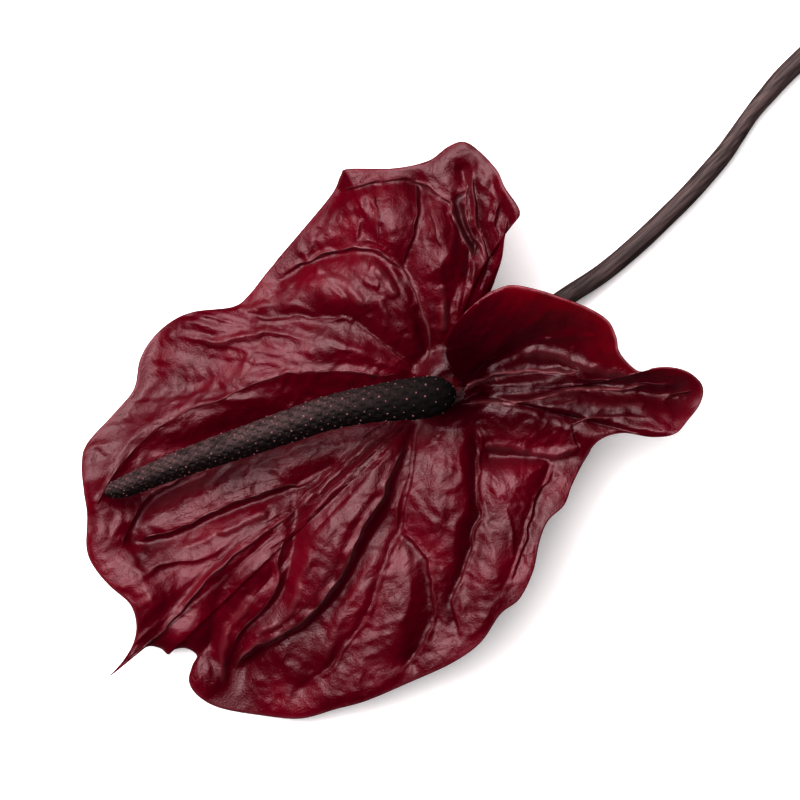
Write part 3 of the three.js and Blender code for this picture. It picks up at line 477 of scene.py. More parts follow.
def turned_noise(x, y, cell, seed):
    """Noise whose cells are turned by an angle of their own, so that several of them don't line up."""
    cos, sin = math.cos(NOISE_TURN * seed), math.sin(NOISE_TURN * seed)
    return noise(x * cos - y * sin, x * sin + y * cos, cell, seed)


def unevenness(x, y, mean, varies, cell, seed):
    return mean + varies * turned_noise(x, y, cell, seed)


def wandered(x, y, how_far, cell, seeds):
    """The points moved about by noise, so that what follows them isn't even."""
    return [value + how_far * noise(x, y, cell, seed) for value, seed in zip((x, y), seeds)]


def creased(value):
    """Noise folded over, so that it comes to sharp lines."""
    return 0.5 - np.abs(value)


def layered_noise(layers, x, y):
    total = np.zeros(x.shape)
    for high, cell, seed, sharp in layers:
        value = turned_noise(x, y, cell, seed)
        total += high * (creased(value) if sharp else value)
    return total


def add_object(name, data):
    thing = bpy.data.objects.new(name, data)
    bpy.context.scene.collection.objects.link(thing)
    return thing


def make_object(name, points, faces, shades=None):
    """A smooth-shaded mesh object from points in metres, with named numbers or vectors on its points."""
    mesh = bpy.data.meshes.new(name)
    mesh.from_pydata([tuple(p) for p in points], [], faces)
    for key, values in (shades or {}).items():
        values = np.asarray(values, np.float32)
        kind, field = ("FLOAT_VECTOR", "vector") if values.ndim == 2 else ("FLOAT", "value")
        mesh.attributes.new(key, kind, "POINT").data.foreach_set(field, values.ravel())
    mesh.shade_smooth()
    mesh.validate()
    return add_object(name, mesh)


def band(inner, outer):
    """Triangles between two rows of (numbers, shares), stepping along whichever is behind."""
    (a, sa), (b, sb) = inner, outer
    faces = []
    i = j = 0
    while i < len(a) - 1 or j < len(b) - 1:
        if i < len(a) - 1 and (j == len(b) - 1 or sa[i + 1] < sb[j + 1]):
            faces.append((a[i], a[i + 1], b[j]))
            i += 1
        else:
            faces.append((a[i], b[j + 1], b[j]))
            j += 1
    return faces


# ---------------------------------------------------------------- spathe


def fold_height(fold, x, y):
    depth, spread, path = fold
    near, across, share = along_path(path, x, y)
    side = np.clip(across / np.maximum(near, 1e-6), -1, 1)
    width = spread[1] + (spread[0] - spread[1]) * (side + 1) / 2
    deep = depth[0] + (depth[1] - depth[0]) * share
    return -deep * np.exp(-(np.hypot(near, FOLD_ROUNDING) - FOLD_ROUNDING) / width)


def vein_parts(vein, x, y, on_lobe):
    """What one vein adds: its cord, its furrow, the distance across it (positive on the furrow's side), its line."""
    raised, width, furrow, path = vein
    side, trough, trough_width = furrow or (0, 0, width)
    reach = max(LINE_REACH, CORD_REACH * width, FURROW_REACH * trough_width)
    low, high = np.min(path, axis=0) - reach, np.max(path, axis=0) + reach
    inside = on_lobe & (x > low[0]) & (x < high[0]) & (y > low[1]) & (y < high[1])
    near, across, share = along_path(path, x[inside], y[inside])
    ends = smoothstep(share, 0, VEIN_END) * smoothstep(1 - share, 0, VEIN_END)
    cord = raised * ends * bell(near, width)
    if side:
        # The blade drops steeply beside the cord and comes back slowly.
        off = np.clip(across * side, 0, None) / (FURROW_TIGHTNESS * trough_width)
        off = np.where(near > np.abs(across) + FURROW_PAST_END, 0, off)
        sunk = trough * ends * off * np.exp(1 - off)
    else:
        sunk = trough * ends * bell(near, trough_width)
    signed = np.where(across * (side or 1) >= 0, near, -near)
    strength = min(max(raised - LINE_RAISED, 0) / LINE_RAISED_SPAN, LINE_STRONGEST) * (width < LINE_WIDEST)
    return inside, cord, sunk, signed, ends * strength


def vein_relief(x, y, rounds):
    """How much cord, furrow and fine line each point has, and how far it lies across the nearest line."""
    cord, furrow, line = np.zeros(x.shape), np.zeros(x.shape), np.zeros(x.shape)
    across = np.full(x.shape, LINE_REACH)
    moved = wandered(x, y, *VEIN_WANDER)
    lobes = ((BLADE_VEINS, rounds >= 0), (UPPER_LOBE_VEINS, rounds > UPPER_LOBE_FROM),
             (RIGHT_LOBE_VEINS, rounds < RIGHT_LOBE_TO))
    for veins, on_lobe in lobes:
        for vein in veins.values():
            inside, raised, sunk, signed, strength = vein_parts(vein, *moved, on_lobe)
            cord[inside] = np.maximum(cord[inside], raised)
            furrow[inside] = np.maximum(furrow[inside], sunk)
            nearer = (np.abs(signed) < np.abs(across[inside])) & (strength > 0)
            places = np.flatnonzero(inside)[nearer]
            across[places] = signed[nearer]
            line[places] = strength[nearer]
    cord *= unevenness(x, y, *CORD_UNEVENNESS)
    line *= np.clip(unevenness(x, y, *LINE_UNEVENNESS), *LINE_LIMITS)
    return cord, furrow, line, across


def puff_height(x, y):
    height = np.zeros(x.shape)
    for px, py, long, wide, turn, high in PUFFS:
        cos, sin = math.cos(math.radians(turn)), math.sin(math.radians(turn))
        u, v = (x - px) * cos + (y - py) * sin, (y - py) * cos - (x - px) * sin
        height += high * np.exp(-((u / long) ** 2) - (v / wide) ** 2)
    return height


def crumple_height(x, y, from_hub):
    """Crumples all over the blade, and creases that run out from the hub and grow with the distance from it."""
    # The angle round the hub jumps under the spadix, where the jump doesn't show.
    sx, sy = SPADIX_WAY
    turned = STREAK_TURN * np.arctan2(y * sx - x * sy, -x * sx - y * sy)
    away = STREAK_STRETCH * np.log(np.maximum(from_hub, 1))
    streaks = sum(share * creased(noise(turned, away, cell, seed)) for share, cell, seed in STREAKS)
    crumples = layered_noise(CRUMPLES, *wandered(x, y, *CRUMPLE_WANDER))
    return crumples + STREAK_GROWTH * np.clip(from_hub, 0, STREAK_LIMIT) * streaks


def wrinkle_height(rim, x, to_margin):
    """Wrinkles that run in from the margin."""
    height = layered_noise(WRINKLES, rim[:, 0], rim[:, 1])
    height *= np.exp(-to_margin / WRINKLE_WIDTH) * smoothstep(to_margin, 0, WRINKLE_START)
    return height * (WRINKLE_LEAST + WRINKLE_MORE * smoothstep(-x, *WRINKLE_MORE_FADE))


def skin_shades(x, y, rounds, from_hub, to_margin):
    """How strongly the painted throat shade, the painted light on the right lobe's upper edge and the painted rim
    highlight show at each point.
    """
    throat_shade = bell(np.hypot(x - THROAT_SHADE_CENTRE[0], y - THROAT_SHADE_CENTRE[1]), THROAT_SHADE_SIZE) * (rounds < THROAT_SHADE_TO)
    throat_shade += (LOBE_SHADE * smoothstep(x, *LOBE_SHADE_FADE) * (rounds < SHADED_LOBE_TO)
               * (1 - np.exp(-to_margin / LOBE_SHADE_MARGIN)))
    throat_shade = np.minimum(throat_shade, 1) * smoothstep(y, *THROAT_SHADE_LOWER_END) + bell(from_hub, HUB_SHADE_SIZE)
    right_edge = (rounds < RIGHT_LOBE_TO) * smoothstep(x, *RIGHT_EDGE_X) * smoothstep(y, *RIGHT_EDGE_Y)
    rim = (RIM_HIGHLIGHT_LEAST + (1 - RIM_HIGHLIGHT_LEAST) * right_edge) * bell(to_margin, RIM_HIGHLIGHT_WIDTH)
    return {"throat_shade": np.minimum(throat_shade, 1), "lit_edge": right_edge * bell(to_margin, LIT_EDGE_WIDTH), "rim highlight": rim}


def spathe_surface(rounds, shares):
    """Points of the front face, in plan millimetres, with the numbers on them that the skin uses."""
    rim = smooth_curve([row[:3] for row in OUTLINE], rounds)
    belly = smooth_curve([(row[3], *(row[4:] or (0, 0))) for row in OUTLINE], rounds)
    direction = np.arctan2(rim[:, 1], rim[:, 0])
    bow = 4 * shares * (1 - shares)
    x = HUB_RADIUS * np.cos(direction) * (1 - shares) + rim[:, 0] * shares + belly[:, 1] * bow
    y = HUB_RADIUS * np.sin(direction) * (1 - shares) + rim[:, 1] * shares + belly[:, 2] * bow
    from_hub = np.hypot(x, y)
    to_margin = (1 - shares) * np.hypot(rim[:, 0], rim[:, 1])

    hub = HUB_HEIGHT + SLIT_LIFT * np.exp(-rounds / SLIT_LIFT_SHARE)
    control = 2 * belly[:, 0] - (hub + rim[:, 2]) / 2
    height = hub * (1 - shares) ** 2 + 2 * control * shares * (1 - shares) + rim[:, 2] * shares**2
    height += sum(fold_height(fold, x, y) for fold in FOLDS.values()) * smoothstep(from_hub, *FOLD_FADE)

    cord, furrow, line, across = vein_relief(x, y, rounds)
    inner = smoothstep(to_margin, *MARGIN_FADE)
    cord, furrow, line = cord * inner, furrow * inner, line * inner
    relief = cord - furrow + (puff_height(x, y) + crumple_height(x, y, from_hub)) * inner
    height += (relief + wrinkle_height(rim, x, to_margin)) * smoothstep(from_hub, *HUB_FADE)
    height -= MARGIN_ROLL * np.exp(-to_margin / MARGIN_ROLL_WIDTH)
    shades = {"cord": cord, "furrow": furrow, "line": line, "across": across}
    shades.update(skin_shades(x, y, rounds, from_hub, to_margin))
    return np.column_stack([x, y, height]), shades


def spathe_face(ring_count, step):
    """One face of the blade: rings from the hub to the margin, each an even row of stations."""
    fine = np.linspace(0, 1, OUTLINE_SAMPLES)
    walked = walked_length(smooth_curve([row[:2] for row in OUTLINE], fine))
    rings, total = [], 0
    for k in range(ring_count + 1):
        share = k / ring_count
        reach = step if k < ring_count else FRONT_STEP
        count = max(FEWEST_SPOKES, round(walked[-1] * max(share, LEAST_SHARE) / reach))
        stations = np.interp(np.linspace(0, walked[-1], count + 1), walked, fine)
        rings.append((np.arange(total, total + count + 1), stations, share))
        total += count + 1
    rounds = np.concatenate([ring[1] for ring in rings])
    shares = np.concatenate([np.full(len(ring[0]), ring[2]) for ring in rings])
    points, shades = spathe_surface(rounds, shares)
    faces = [face for (a, sa, _), (b, sb, _) in zip(rings, rings[1:]) for face in band((a, sa), (b, sb))]
    return points, faces, rings, shades


def hub_fan(ring, centre):
    numbers = ring[0]
    return [(centre, numbers[(k + 1) % len(numbers)], numbers[k]) for k in range(len(numbers))]


def flipped(faces):
    return [(a, c, b) for a, b, c in faces]


def wall_under(points, faces):
    """How far the back face lies below each point, so that the blade keeps its thickness where it is steep."""
    corners = np.array(faces)
    a, b, c = (points[corners[:, k]] for k in range(3))
    normals, face_normals = np.zeros(points.shape), np.cross(b - a, c - a)
    for k in range(3):
        np.add.at(normals, corners[:, k], face_normals)
    return SPATHE_THICKNESS / np.maximum(unit(normals)[:, 2], 1 / STEEPEST_WALL)


def make_spathe():
    front, faces, rings, shades = spathe_face(FRONT_RINGS, FRONT_STEP)
    back, back_faces, back_rings, _ = spathe_face(BACK_RINGS, BACK_STEP)
    back[:, 2] = np.maximum(back[:, 2] - wall_under(back, back_faces), 0)
    above = (front[:, 2] - SPATHE_THICKNESS) / REST_ROUNDING
    front[:, 2] = SPATHE_THICKNESS + REST_ROUNDING * np.logaddexp(above, 0)

    hub_front, hub_back = len(front), len(front) + 1 + len(back)
    start = hub_front + 1
    points = np.vstack([front, [[0, 0, HUB_HEIGHT]], back, [[0, 0, HUB_HEIGHT - SPATHE_THICKNESS]]])
    shifted = [(ring[0] + start, ring[1], ring[2]) for ring in back_rings]
    faces += hub_fan(rings[0], hub_front)
    faces += flipped([(a + start, b + start, c + start) for a, b, c in back_faces])
    faces += flipped(hub_fan(shifted[0], hub_back))

    # The rim: round the outline with a rounded edge, and down each side of the slit.
    top, low, ring_inside = rings[-1][0], shifted[-1][0], rings[-2]
    nearest = np.searchsorted(ring_inside[1], rings[-1][1]).clip(0, len(ring_inside[0]) - 1)
    edge = (points[top] + points[low]) / 2
    edge[:, :2] += RIM_ROUNDING * unit(points[top, :2] - points[ring_inside[0][nearest], :2])
    for end in (0, -1):
        edge[end, :2] = points[top[end], :2]
    numbers = np.arange(len(points), len(points) + len(edge))
    points = np.vstack([points, edge])
    for upper, lower in ((top, numbers), (numbers, low)):
        for k in range(len(upper) - 1):
            faces.append((upper[k], upper[k + 1], lower[k + 1]))
            faces.append((upper[k], lower[k + 1], lower[k]))
    for end in (0, -1):
        above, below = (([ring[0][end] for ring in face], [ring[2] for ring in face]) for face in (rings, shifted))
        side = band(above, below)
        side.append((above[0][-1], numbers[end], below[0][-1]))
        faces += flipped(side) if end else side
    first, last, under = rings[0][0][0], rings[0][0][-1], shifted[0][0]
    faces += [(last, first, under[0]), (last, under[0], under[-1])]

    filler = np.zeros(len(points) - len(front))
    shades = {key: np.concatenate([values, filler]) for key, values in shades.items()}
    shades["back"] = np.concatenate([np.zeros(len(front)), filler + 1])
    return make_object("spathe_blade", to_metres(points), [tuple(int(n) for n in f) for f in faces], shades)


# ---------------------------------------------------------------- spadix and stem


def spike_rings(rows, steps):
    """Centres, two ways across, radii and lengths walked at even steps along a row of x, y, height and radius."""
    fine = np.linspace(0, 1, SPIKE_SAMPLES)
    curve = smooth_curve(rows, fine)
    walked = walked_length(curve[:, :3])
    even = np.linspace(0, walked[-1], steps + 1)
    places = np.interp(even, walked, fine)
    centres, ahead = smooth_curve(rows, places), np.gradient(curve[:, :3], axis=0)
    along = unit(np.column_stack([np.interp(places, fine, ahead[:, k]) for k in range(3)]))
    across = np.cross([0, 0, 1], along)
    across[np.linalg.norm(across, axis=1) < UPRIGHT] = UPRIGHT_ACROSS
    across = unit(across - along * np.sum(across * along, axis=1)[:, None])
    return centres[:, :3], across, np.cross(along, across), centres[:, 3], even


def spike_mesh(rings, radius, sides):
    """Points and faces of a closed round body, its radius given for every ring and side."""
    centres, across, up, _, _ = rings
    angle = 2 * math.pi * np.arange(sides) / sides
    ring_points = (centres[:, None, :] + radius[..., None] * (
        across[:, None, :] * np.cos(angle)[None, :, None] + up[:, None, :] * np.sin(angle)[None, :, None]))
    points = np.vstack([ring_points.reshape(-1, 3), centres[:1], centres[-1:]])
    last, start, end = (len(centres) - 1) * sides, len(centres) * sides, len(centres) * sides + 1
    turns = [(side, (side + 1) % sides) for side in range(sides)]
    faces = [(ring + a, ring + b, ring + b + sides, ring + a + sides)
             for ring in range(0, last, sides) for a, b in turns]
    for a, b in turns:
        faces += [(start, b, a), (end, last + a, last + b)]
    return points, faces


def make_spadix():
    rings = spike_rings(SPADIX, SPADIX_RINGS)
    centres, across, up, radii, walked = rings
    # The florets shrink with the radius: the lattice says how many of their rows lie before each ring.
    pitch = FLORET_PITCH * np.maximum(radii, LEAST_FLORET_RADIUS)
    lattice = np.concatenate([[0], np.cumsum(np.diff(walked) / ((pitch[1:] + pitch[:-1]) / 2))])
    row_step = 2 * math.pi * radii / FLORET_ROWS
    grown = smoothstep(walked, NECK - 1, NECK + 1) * smoothstep(walked[-1] - walked, 0, BARE_TIP)
    sides = np.arange(SPADIX_SIDES) / SPADIX_SIDES * FLORET_ROWS
    nearest = np.full((len(radii), SPADIX_SIDES), np.inf)
    for j in range(-2, FLORET_ROWS + 3):
        shift = lattice[:, None] - FLORET_SHIFT * j
        dv = (shift - np.round(shift)) * pitch[:, None]
        du = (sides - j) * row_step[:, None]
        nearest = np.minimum(nearest, np.hypot(du, dv) / (0.5 * np.sqrt(pitch * row_step))[:, None])
    nearest = np.clip(nearest, 0, FLORET_EDGE)
    cushion = FLORET_RELIEF * (1 - nearest**FLORET_FLATNESS) * (radii / FULL_RADIUS)[:, None]
    cushion += SPADIX_GRAIN * noise(walked[:, None] + 0 * sides, sides * row_step[:, None], *SPADIX_GRAIN_NOISE)
    points, faces = spike_mesh(rings, radii[:, None] + cushion * grown[:, None], SPADIX_SIDES)
    around = 2 * math.pi * np.arange(SPADIX_SIDES) / SPADIX_SIDES
    # Painted light: how squarely each side of the spadix faces the key light, which makes its florets paler.
    facing_light = (across @ LIT_SIDE_WAY)[:, None] * np.cos(around) + (up @ LIT_SIDE_WAY)[:, None] * np.sin(around)
    body = make_object("spadix_body", to_metres(points), faces, {
        "pit": np.append(nearest * grown[:, None], [0, 0]),
        "foot_dark": np.append(np.repeat(1 - smoothstep(walked, *FOOT_DARK_FADE), SPADIX_SIDES), [1, 0]),
        "lit_side": np.append(smoothstep(facing_light, *LIT_SIDE_FADE), [0, LIT_SIDE_TIP])})

    # A small knob on each floret.
    spots, facing, sizes = [], [], []
    uneven = np.random.default_rng(KNOB_SEED)
    for j in range(FLORET_ROWS):
        for i in range(-FLORET_ROWS, int(lattice[-1]) + 1):
            place = i + FLORET_SHIFT * j + uneven.normal(0, KNOB_SCATTER)
            angle = 2 * math.pi * (j + uneven.normal(0, KNOB_SCATTER)) / FLORET_ROWS
            size = uneven.uniform(*KNOB_SIZES)
            along = np.interp(place, lattice, walked)
            if not 0 < place < lattice[-1] or along < NECK or walked[-1] - along < BARE_TIP:
                continue
            c, a, u = (np.array([np.interp(place, lattice, v[:, k]) for k in range(3)]) for v in (centres, across, up))
            radius = np.interp(place, lattice, radii)
            out = a * math.cos(angle) + u * math.sin(angle)
            out /= np.linalg.norm(out)
            spots.append(c + out * (radius + FLORET_RELIEF * radius / FULL_RADIUS - KNOB_SUNK))
            facing.append(out)
            sizes.append(size * (KNOB_LEAST + (1 - KNOB_LEAST) * radius / FULL_RADIUS))
    facing = to_metres(np.array(facing) * 1000) - to_metres(np.zeros((1, 3)))
    seats = make_object("knob_seats", to_metres(spots), [], {"facing": facing, "knob_size": sizes})
    return grow(seats, body, "spadix_spike")


def grow(seats, body, name):
    """Sets a knob on every seat, joins them to the body and returns the result as a plain mesh object."""
    tree = bpy.data.node_groups.new("florets", "GeometryNodeTree")
    for label, kind, first in (("Geometry", "NodeSocketGeometry", None), ("Body", "NodeSocketObject", None),
                               ("Knob Width", "NodeSocketFloat", KNOB_WIDTH / 1000),
                               ("Knob Height", "NodeSocketFloat", KNOB_HEIGHT / 1000),
                               ("Finish", "NodeSocketMaterial", None)):
        socket = tree.interface.new_socket(label, in_out="INPUT", socket_type=kind)
        if first is not None:
            socket.default_value = first
    tree.interface.new_socket("Geometry", in_out="OUTPUT", socket_type="NodeSocketGeometry")
    make = NodeMaker(tree)
    given = make.node("NodeGroupInput").outputs

    def geometry(kind, settings, inputs, output=0):
        return make.node("GeometryNode" + kind, settings, inputs).outputs[output]

    facing = geometry("InputNamedAttribute", {"data_type": "FLOAT_VECTOR"}, {"Name": "facing"})
    size = geometry("InputNamedAttribute", {"data_type": "FLOAT"}, {"Name": "knob_size"})
    ball = geometry("MeshIcoSphere", {}, {"Radius": 1.0, "Subdivisions": 1})
    scale = make.node("ShaderNodeCombineXYZ", {}, {0: given["Knob Width"], 1: given["Knob Width"],
                                                   2: given["Knob Height"]})
    knob = geometry("Transform", {}, {"Geometry": ball, "Scale": scale.outputs[0]})
    turn = make.node("FunctionNodeAlignRotationToVector", {"axis": "Z"}, {"Vector": facing})
    knobs = geometry("InstanceOnPoints", {}, {"Points": given["Geometry"], "Instance": knob,
                                              "Rotation": turn.outputs[0], "Scale": size})
    marked = geometry("StoreNamedAttribute", {"data_type": "FLOAT", "domain": "INSTANCE"},
                      {"Geometry": knobs, "Name": "knob", "Value": 1.0})
    carried = geometry("ObjectInfo", {"transform_space": "ORIGINAL"}, {"Object": given["Body"]}, "Geometry")
    joined = make.node("GeometryNodeJoinGeometry", {}, {0: marked})
    make.feed(joined.inputs[0], carried)
    real = geometry("RealizeInstances", {}, {0: joined.outputs[0]})
    smooth = geometry("SetShadeSmooth", {}, {0: real})
    finished = geometry("SetMaterial", {}, {"Geometry": smooth, "Material": given["Finish"]})
    make.node("NodeGroupOutput", {}, {0: finished})

    modifier = seats.modifiers.new("florets", "NODES")
    modifier.node_group = tree
    inputs = {item.name: item.identifier for item in tree.interface.items_tree if item.in_out == "INPUT"}
    modifier[inputs["Body"]] = body
    modifier[inputs["Finish"]] = spadix_skin
    bpy.context.view_layer.update()
    grown = bpy.data.meshes.new_from_object(seats.evaluated_get(bpy.context.evaluated_depsgraph_get()))
    grown.name = name
    piece = add_object(name, grown)
    for used in (seats, body):
        bpy.data.objects.remove(used)
    return piece


def make_stem():
    rings = spike_rings(STEM, STEM_RINGS)
    angle = 2 * math.pi * np.arange(STEM_SIDES)[None, :] / STEM_SIDES
    walked = rings[4][:, None]
    ribs = sum(high * np.cos(number * angle + twist * walked) for high, number, twist in STEM_RIBS)
    lumps = STEM_LUMPS * noise(walked + 0 * angle, STEM_LUMPS_AROUND * np.cos(angle) + 0 * walked, *STEM_LUMPS_NOISE)
    points, faces = spike_mesh(rings, rings[3][:, None] + ribs + lumps, STEM_SIDES)
    points[:, 2] = np.maximum(points[:, 2] - STEM_PRESS, 0)
    outward = np.array(STEM[-1][:2]) / math.hypot(*STEM[-1][:2])
    ring = [*range(STEM_RINGS * STEM_SIDES, (STEM_RINGS + 1) * STEM_SIDES), len(points) - 1]
    points[ring, :2] -= outward * (STEM_CUT_SLANT * (points[ring, 2] - STEM[-1][2]))[:, None]
    cut = np.zeros(len(points))
    cut[-1] = 1
    return make_object("stem_stalk", to_metres(points), faces, {"cut": cut})


# ---------------------------------------------------------------- finishes


class NodeMaker:
    """Adds nodes to a tree: settings are set first, then the inputs' values or links."""

    def __init__(self, tree):
        self.tree = tree

    def feed(self, target, value):
        """Links an input to a number's or a node's output, or sets it to a plain value."""
        value = value.socket if isinstance(value, Number) else value
        if isinstance(value, bpy.types.NodeSocket):
            self.tree.links.new(value, target)
        else:
            target.default_value = value

    def node(self, kind, settings=None, inputs=None):
        node = self.tree.nodes.new(kind)
        for key, value in (settings or {}).items():
            setattr(node, key, value)
        for key, value in (inputs or {}).items():
            self.feed(node.inputs[key], value)
        return node

    def number(self, kind, settings=None, inputs=None, output=0):
        return Number(self, self.node(kind, settings, inputs).outputs[output])


class Number:
    """A socket that Python's operators work on: each adds the Math node that it needs."""

    def __init__(self, maker, socket):
        self.maker, self.socket = maker, socket

    def math(self, operation, *others):
        return self.maker.number("ShaderNodeMath", {"operation": operation}, dict(enumerate((self, *others))))

    def __add__(self, other):
        return self.math("ADD", other)

    __radd__ = __add__

    def __mul__(self, other):
        return self.math("MULTIPLY", other)

    __rmul__ = __mul__

    def __sub__(self, other):
        return self.math("SUBTRACT", other)

    def __rsub__(self, other):
        return self * -1.0 + other

    def between(self, low, high):
        """0 below low, 1 above high, smooth between."""
        return self.maker.number("ShaderNodeMapRange", {"interpolation_type": "SMOOTHSTEP"},
                                 {"Value": self, "From Min": low, "From Max": high})

    def bell(self, sharpness):
        """1 where the number is 0, falling to nothing on both sides."""
        return (self * self * -sharpness).math("EXPONENT")


def linear(red, green, blue):
    """An sRGB colour of 0 to 255 as the shader's linear numbers."""
    return (*((c / 255 / 12.92) if c <= 10 else ((c / 255 + 0.055) / 1.055) ** 2.4 for c in (red, green, blue)), 1)


class Finish(NodeMaker):
    """A new material: speckles and the mesh's own numbers to work with, coats of colour, and the closing nodes."""

    def __init__(self, name):
        self.material = bpy.data.materials.new(name)
        self.material.use_nodes = True
        super().__init__(self.material.node_tree)
        self.tree.nodes.clear()
        self.place = self.node("ShaderNodeTexCoord").outputs["Object"]

    def speckle(self, scale, detail=2.0, rough=0.5, place=None):
        return self.number("ShaderNodeTexNoise", {}, {"Vector": place or self.place, "Scale": scale,
                                                      "Detail": detail, "Roughness": rough})

    def attribute(self, name):
        return self.number("ShaderNodeAttribute", {"attribute_name": name}, {}, "Fac")

    def coats(self, colour, *coats):
        """The colour under coats of other colours, each as strong as its share says."""
        colour = linear(*colour)
        for share, coat in coats:
            inputs = {0: share, 6: colour, 7: linear(*coat)}
            colour = self.node("ShaderNodeMix", {"data_type": "RGBA"}, inputs).outputs[2]
        return colour

    def close(self, colour, roughness, height, distance, strength, ior, **constants):
        """Adds the bump, the shader with its constant values and the output, and gives the material."""
        bump = self.node("ShaderNodeBump", {}, {"Height": height, "Distance": distance, "Strength": strength})
        shader = self.node("ShaderNodeBsdfPrincipled", {}, {
            "Base Color": colour, "Roughness": roughness, "Normal": bump.outputs[0], "IOR": ior, **constants})
        self.node("ShaderNodeOutputMaterial", {}, {0: shader.outputs[0]})
        return self.material


def make_spathe_skin():
    """Glossy puckered skin: deep crimson, with painted shade in the furrows and beside the cords, a little paler on
    the cords.
    """
    skin = Finish("crimson spathe skin")
    mottle, fine, grain = skin.speckle(60, 3), skin.speckle(420, 3, 0.6), skin.speckle(2200, 2, 0.7)
    furrow, cord = skin.attribute("furrow"), skin.attribute("cord")
    line, across = skin.attribute("line"), skin.attribute("across")
    thread = across.math("DIVIDE", line.math("MAXIMUM", 0.1)).bell(THREAD_SHARPNESS) * line
    # Painted shadow: a dark line beside each cord, on its furrow's side.
    shadow = (across - SHADOW_PLACE).bell(SHADOW_SHARPNESS) * line
    colour = skin.coats(
        CRIMSON_DEEP,
        (mottle.between(0.35, 0.7), CRIMSON),
        # Painted shade: darker where the furrows are deeper.
        (furrow.between(0.1, 1.1), CRIMSON_SHADE_AND_MOTTLE),
        (fine.between(0.55, 0.8) * 0.35, CRIMSON_SHADE_AND_MOTTLE),
        # Painted shade over the throat at the hub and in the right lobe.
        (skin.attribute("throat_shade") * 0.8, CRIMSON_THROAT_SHADE),
        (shadow * 0.45, CRIMSON_SHADE_AND_MOTTLE),
        # Painted light: brighter crimson on the right lobe's upper edge.
        (skin.attribute("lit_edge") * mottle.between(0.2, 0.6), CRIMSON_LIT_EDGE),
        (cord.between(0.2, 0.7) * 0.3, CRIMSON_CORD),
        (thread * 0.7, CRIMSON_CORD),
        # Painted highlight along the rim.
        (skin.attribute("rim highlight") * fine.between(0.2, 0.6) * 0.75, RIM_HIGHLIGHT),
        (skin.attribute("back"), CRIMSON_BACK))
    rough = fine * 0.12 + grain * 0.12 + furrow.between(0.4, 1.4) * 0.2 + (SKIN_ROUGHNESS - 0.09)
    return skin.close(colour, rough, fine * 0.9 + grain * 0.8 + thread - shadow * 0.5, 0.00022, 0.8, SKIN_IOR)


def make_spadix_skin():
    """Matt, nearly black florets, painted browner on the side that faces the key light, darker towards the foot, with
    painted shade between them, and paler knobs.
    """
    skin = Finish("near-black floret skin")
    foot_dark, grain, blotch = skin.attribute("foot_dark"), skin.speckle(1500, 3, 0.7), skin.speckle(420, 2)
    colour = skin.coats(
        SPADIX_DARK,
        # Painted light on the side that faces the key light.
        (skin.attribute("lit_side") * blotch.between(0.1, 0.6), SPADIX_LIT_BROWN),
        (foot_dark * 0.9, SPADIX_FOOT_DARK),
        (skin.speckle(2600, 1).between(0.42, 0.62) * 0.55, SPADIX_PIT_SHADE_AND_SPECKLE),
        # Painted shade in the pits between the florets.
        (skin.attribute("pit").between(0.9, 1.25) * 0.75, SPADIX_PIT_SHADE_AND_SPECKLE),
        (skin.attribute("knob") * blotch.between(0.22, 0.5), SPADIX_KNOB))
    return skin.close(colour, grain * 0.2 + foot_dark * 0.35 + 0.38, grain, 0.0004, 1.0, 1.33)


def make_stem_skin():
    """Matt brown-grey, streaked lengthwise, with a pale cut face."""
    skin = Finish("dark brown-grey stem skin")
    lengthwise = skin.node("ShaderNodeMapping", {}, {"Vector": skin.place, "Scale": (0.06, 1, 1)}).outputs[0]
    streaks, grain = skin.speckle(1400, 3, 0.6, lengthwise), skin.speckle(1800, 2, 0.6)
    colour = skin.coats(
        STEM_DARK,
        (streaks.between(0.35, 0.65), STEM_LIGHT),
        (skin.speckle(90, 3, 0.6).between(0.4, 0.75) * 0.5, STEM_DARK),
        (skin.attribute("cut").between(0.02, 0.3), STEM_CUT))
    return skin.close(colour, grain * 0.15 + 0.5, streaks + grain * 0.5, 0.00012, 0.8, 1.45)


def make_table_top():
    top = Finish("pale table top")
    colour = top.coats(TABLE_GREY, (top.speckle(30), TABLE_PALE))
    return top.close(colour, 0.9, top.speckle(900), 0.00002, 0.3, 1.3,
                     **{"Emission Color": WHITE, "Emission Strength": TABLE_GLOW})


# ---------------------------------------------------------------- the flower and its setting

spathe_skin = make_spathe_skin()
spadix_skin = make_spadix_skin()
stem_skin = make_stem_skin()

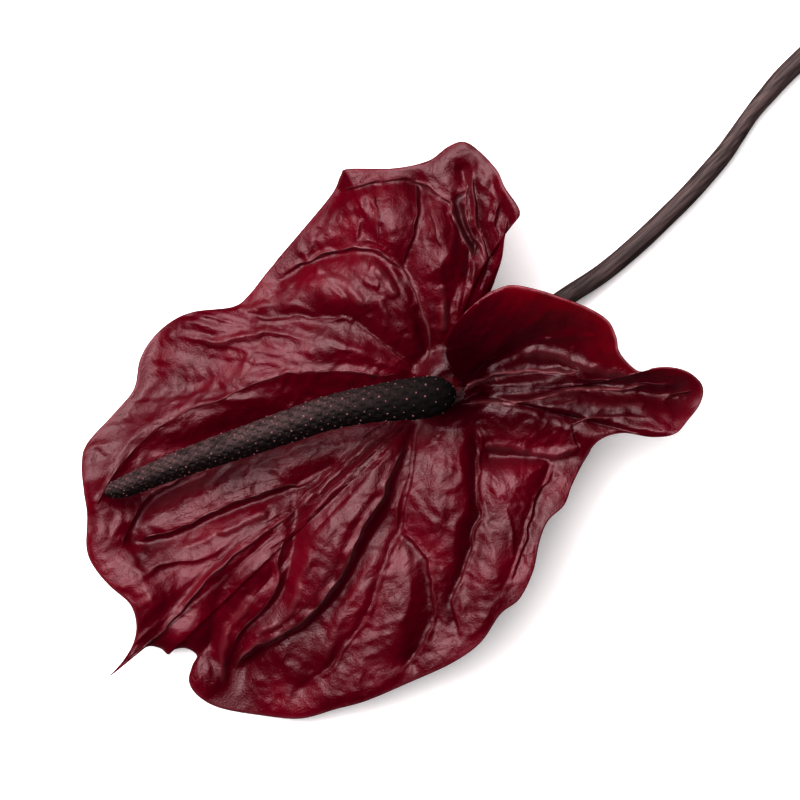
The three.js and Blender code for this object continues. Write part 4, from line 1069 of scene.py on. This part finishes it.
spathe = make_spathe()
spathe.data.materials.append(spathe_skin)
spadix = make_spadix()
stem = make_stem()
stem.data.materials.append(stem_skin)

for piece, node in ((spathe, "spathe"), (spadix, "spadix"), (stem, "stem")):
    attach(piece, "root")
    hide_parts(node)

corners = [(x * TABLE_REACH, y * TABLE_REACH, TABLE_HEIGHT) for x, y in ((-1, -1), (1, -1), (1, 1), (-1, 1))]
floor = make_object("table_top", corners, [(0, 1, 2, 3)])
floor.data.materials.append(make_table_top())
floor.visible_glossy = False


def plan_direction(azimuth, elevation):
    """A direction given by its angle from the view's right, anticlockwise, and its angle above the table."""
    a, e = math.radians(azimuth) + FLOWER_TURN, math.radians(elevation)
    return Vector((math.cos(a) * math.cos(e), math.sin(a) * math.cos(e), math.sin(e)))


def softbox(name, azimuth, elevation, distance, width, height, power):
    aim = Vector(to_metres([LIGHT_AIM])[0])
    light = bpy.data.lights.new(name, "AREA")
    light.shape = "RECTANGLE"
    light.size, light.size_y = width, height
    light.energy = power
    light.color = LIGHT_COLOUR
    lamp = add_object(name, light)
    lamp.location = aim + plan_direction(azimuth, elevation) * distance
    lamp.rotation_euler = (lamp.location - aim).to_track_quat("Z", "Y").to_euler()


for box in SOFTBOXES:
    softbox(*box)

world = bpy.data.worlds.new("studio")
world.use_nodes = True
background = world.node_tree.nodes["Background"].inputs
background["Color"].default_value = WHITE
background["Strength"].default_value = STUDIO_GLOW
world.cycles_visibility.glossy = False
bpy.context.scene.world = world
bpy.context.scene.view_settings.view_transform = "Standard"
bpy.context.scene.view_settings.look = "None"
bpy.context.scene.view_settings.gamma = PRINT_CONTRAST

camera_data = bpy.data.cameras.new("camera")
camera_data.sensor_width = SENSOR_WIDTH
camera_data.lens = SENSOR_WIDTH * CAMERA_DISTANCE / VIEW_WIDTH
camera_data.clip_end = CLIP_END
camera = add_object("camera", camera_data)
camera.location = to_metres([(*VIEW_CENTRE, HUB_HEIGHT + CAMERA_DISTANCE)])[0]
camera.rotation_euler = (0, 0, FLOWER_TURN)
bpy.context.scene.camera = camera
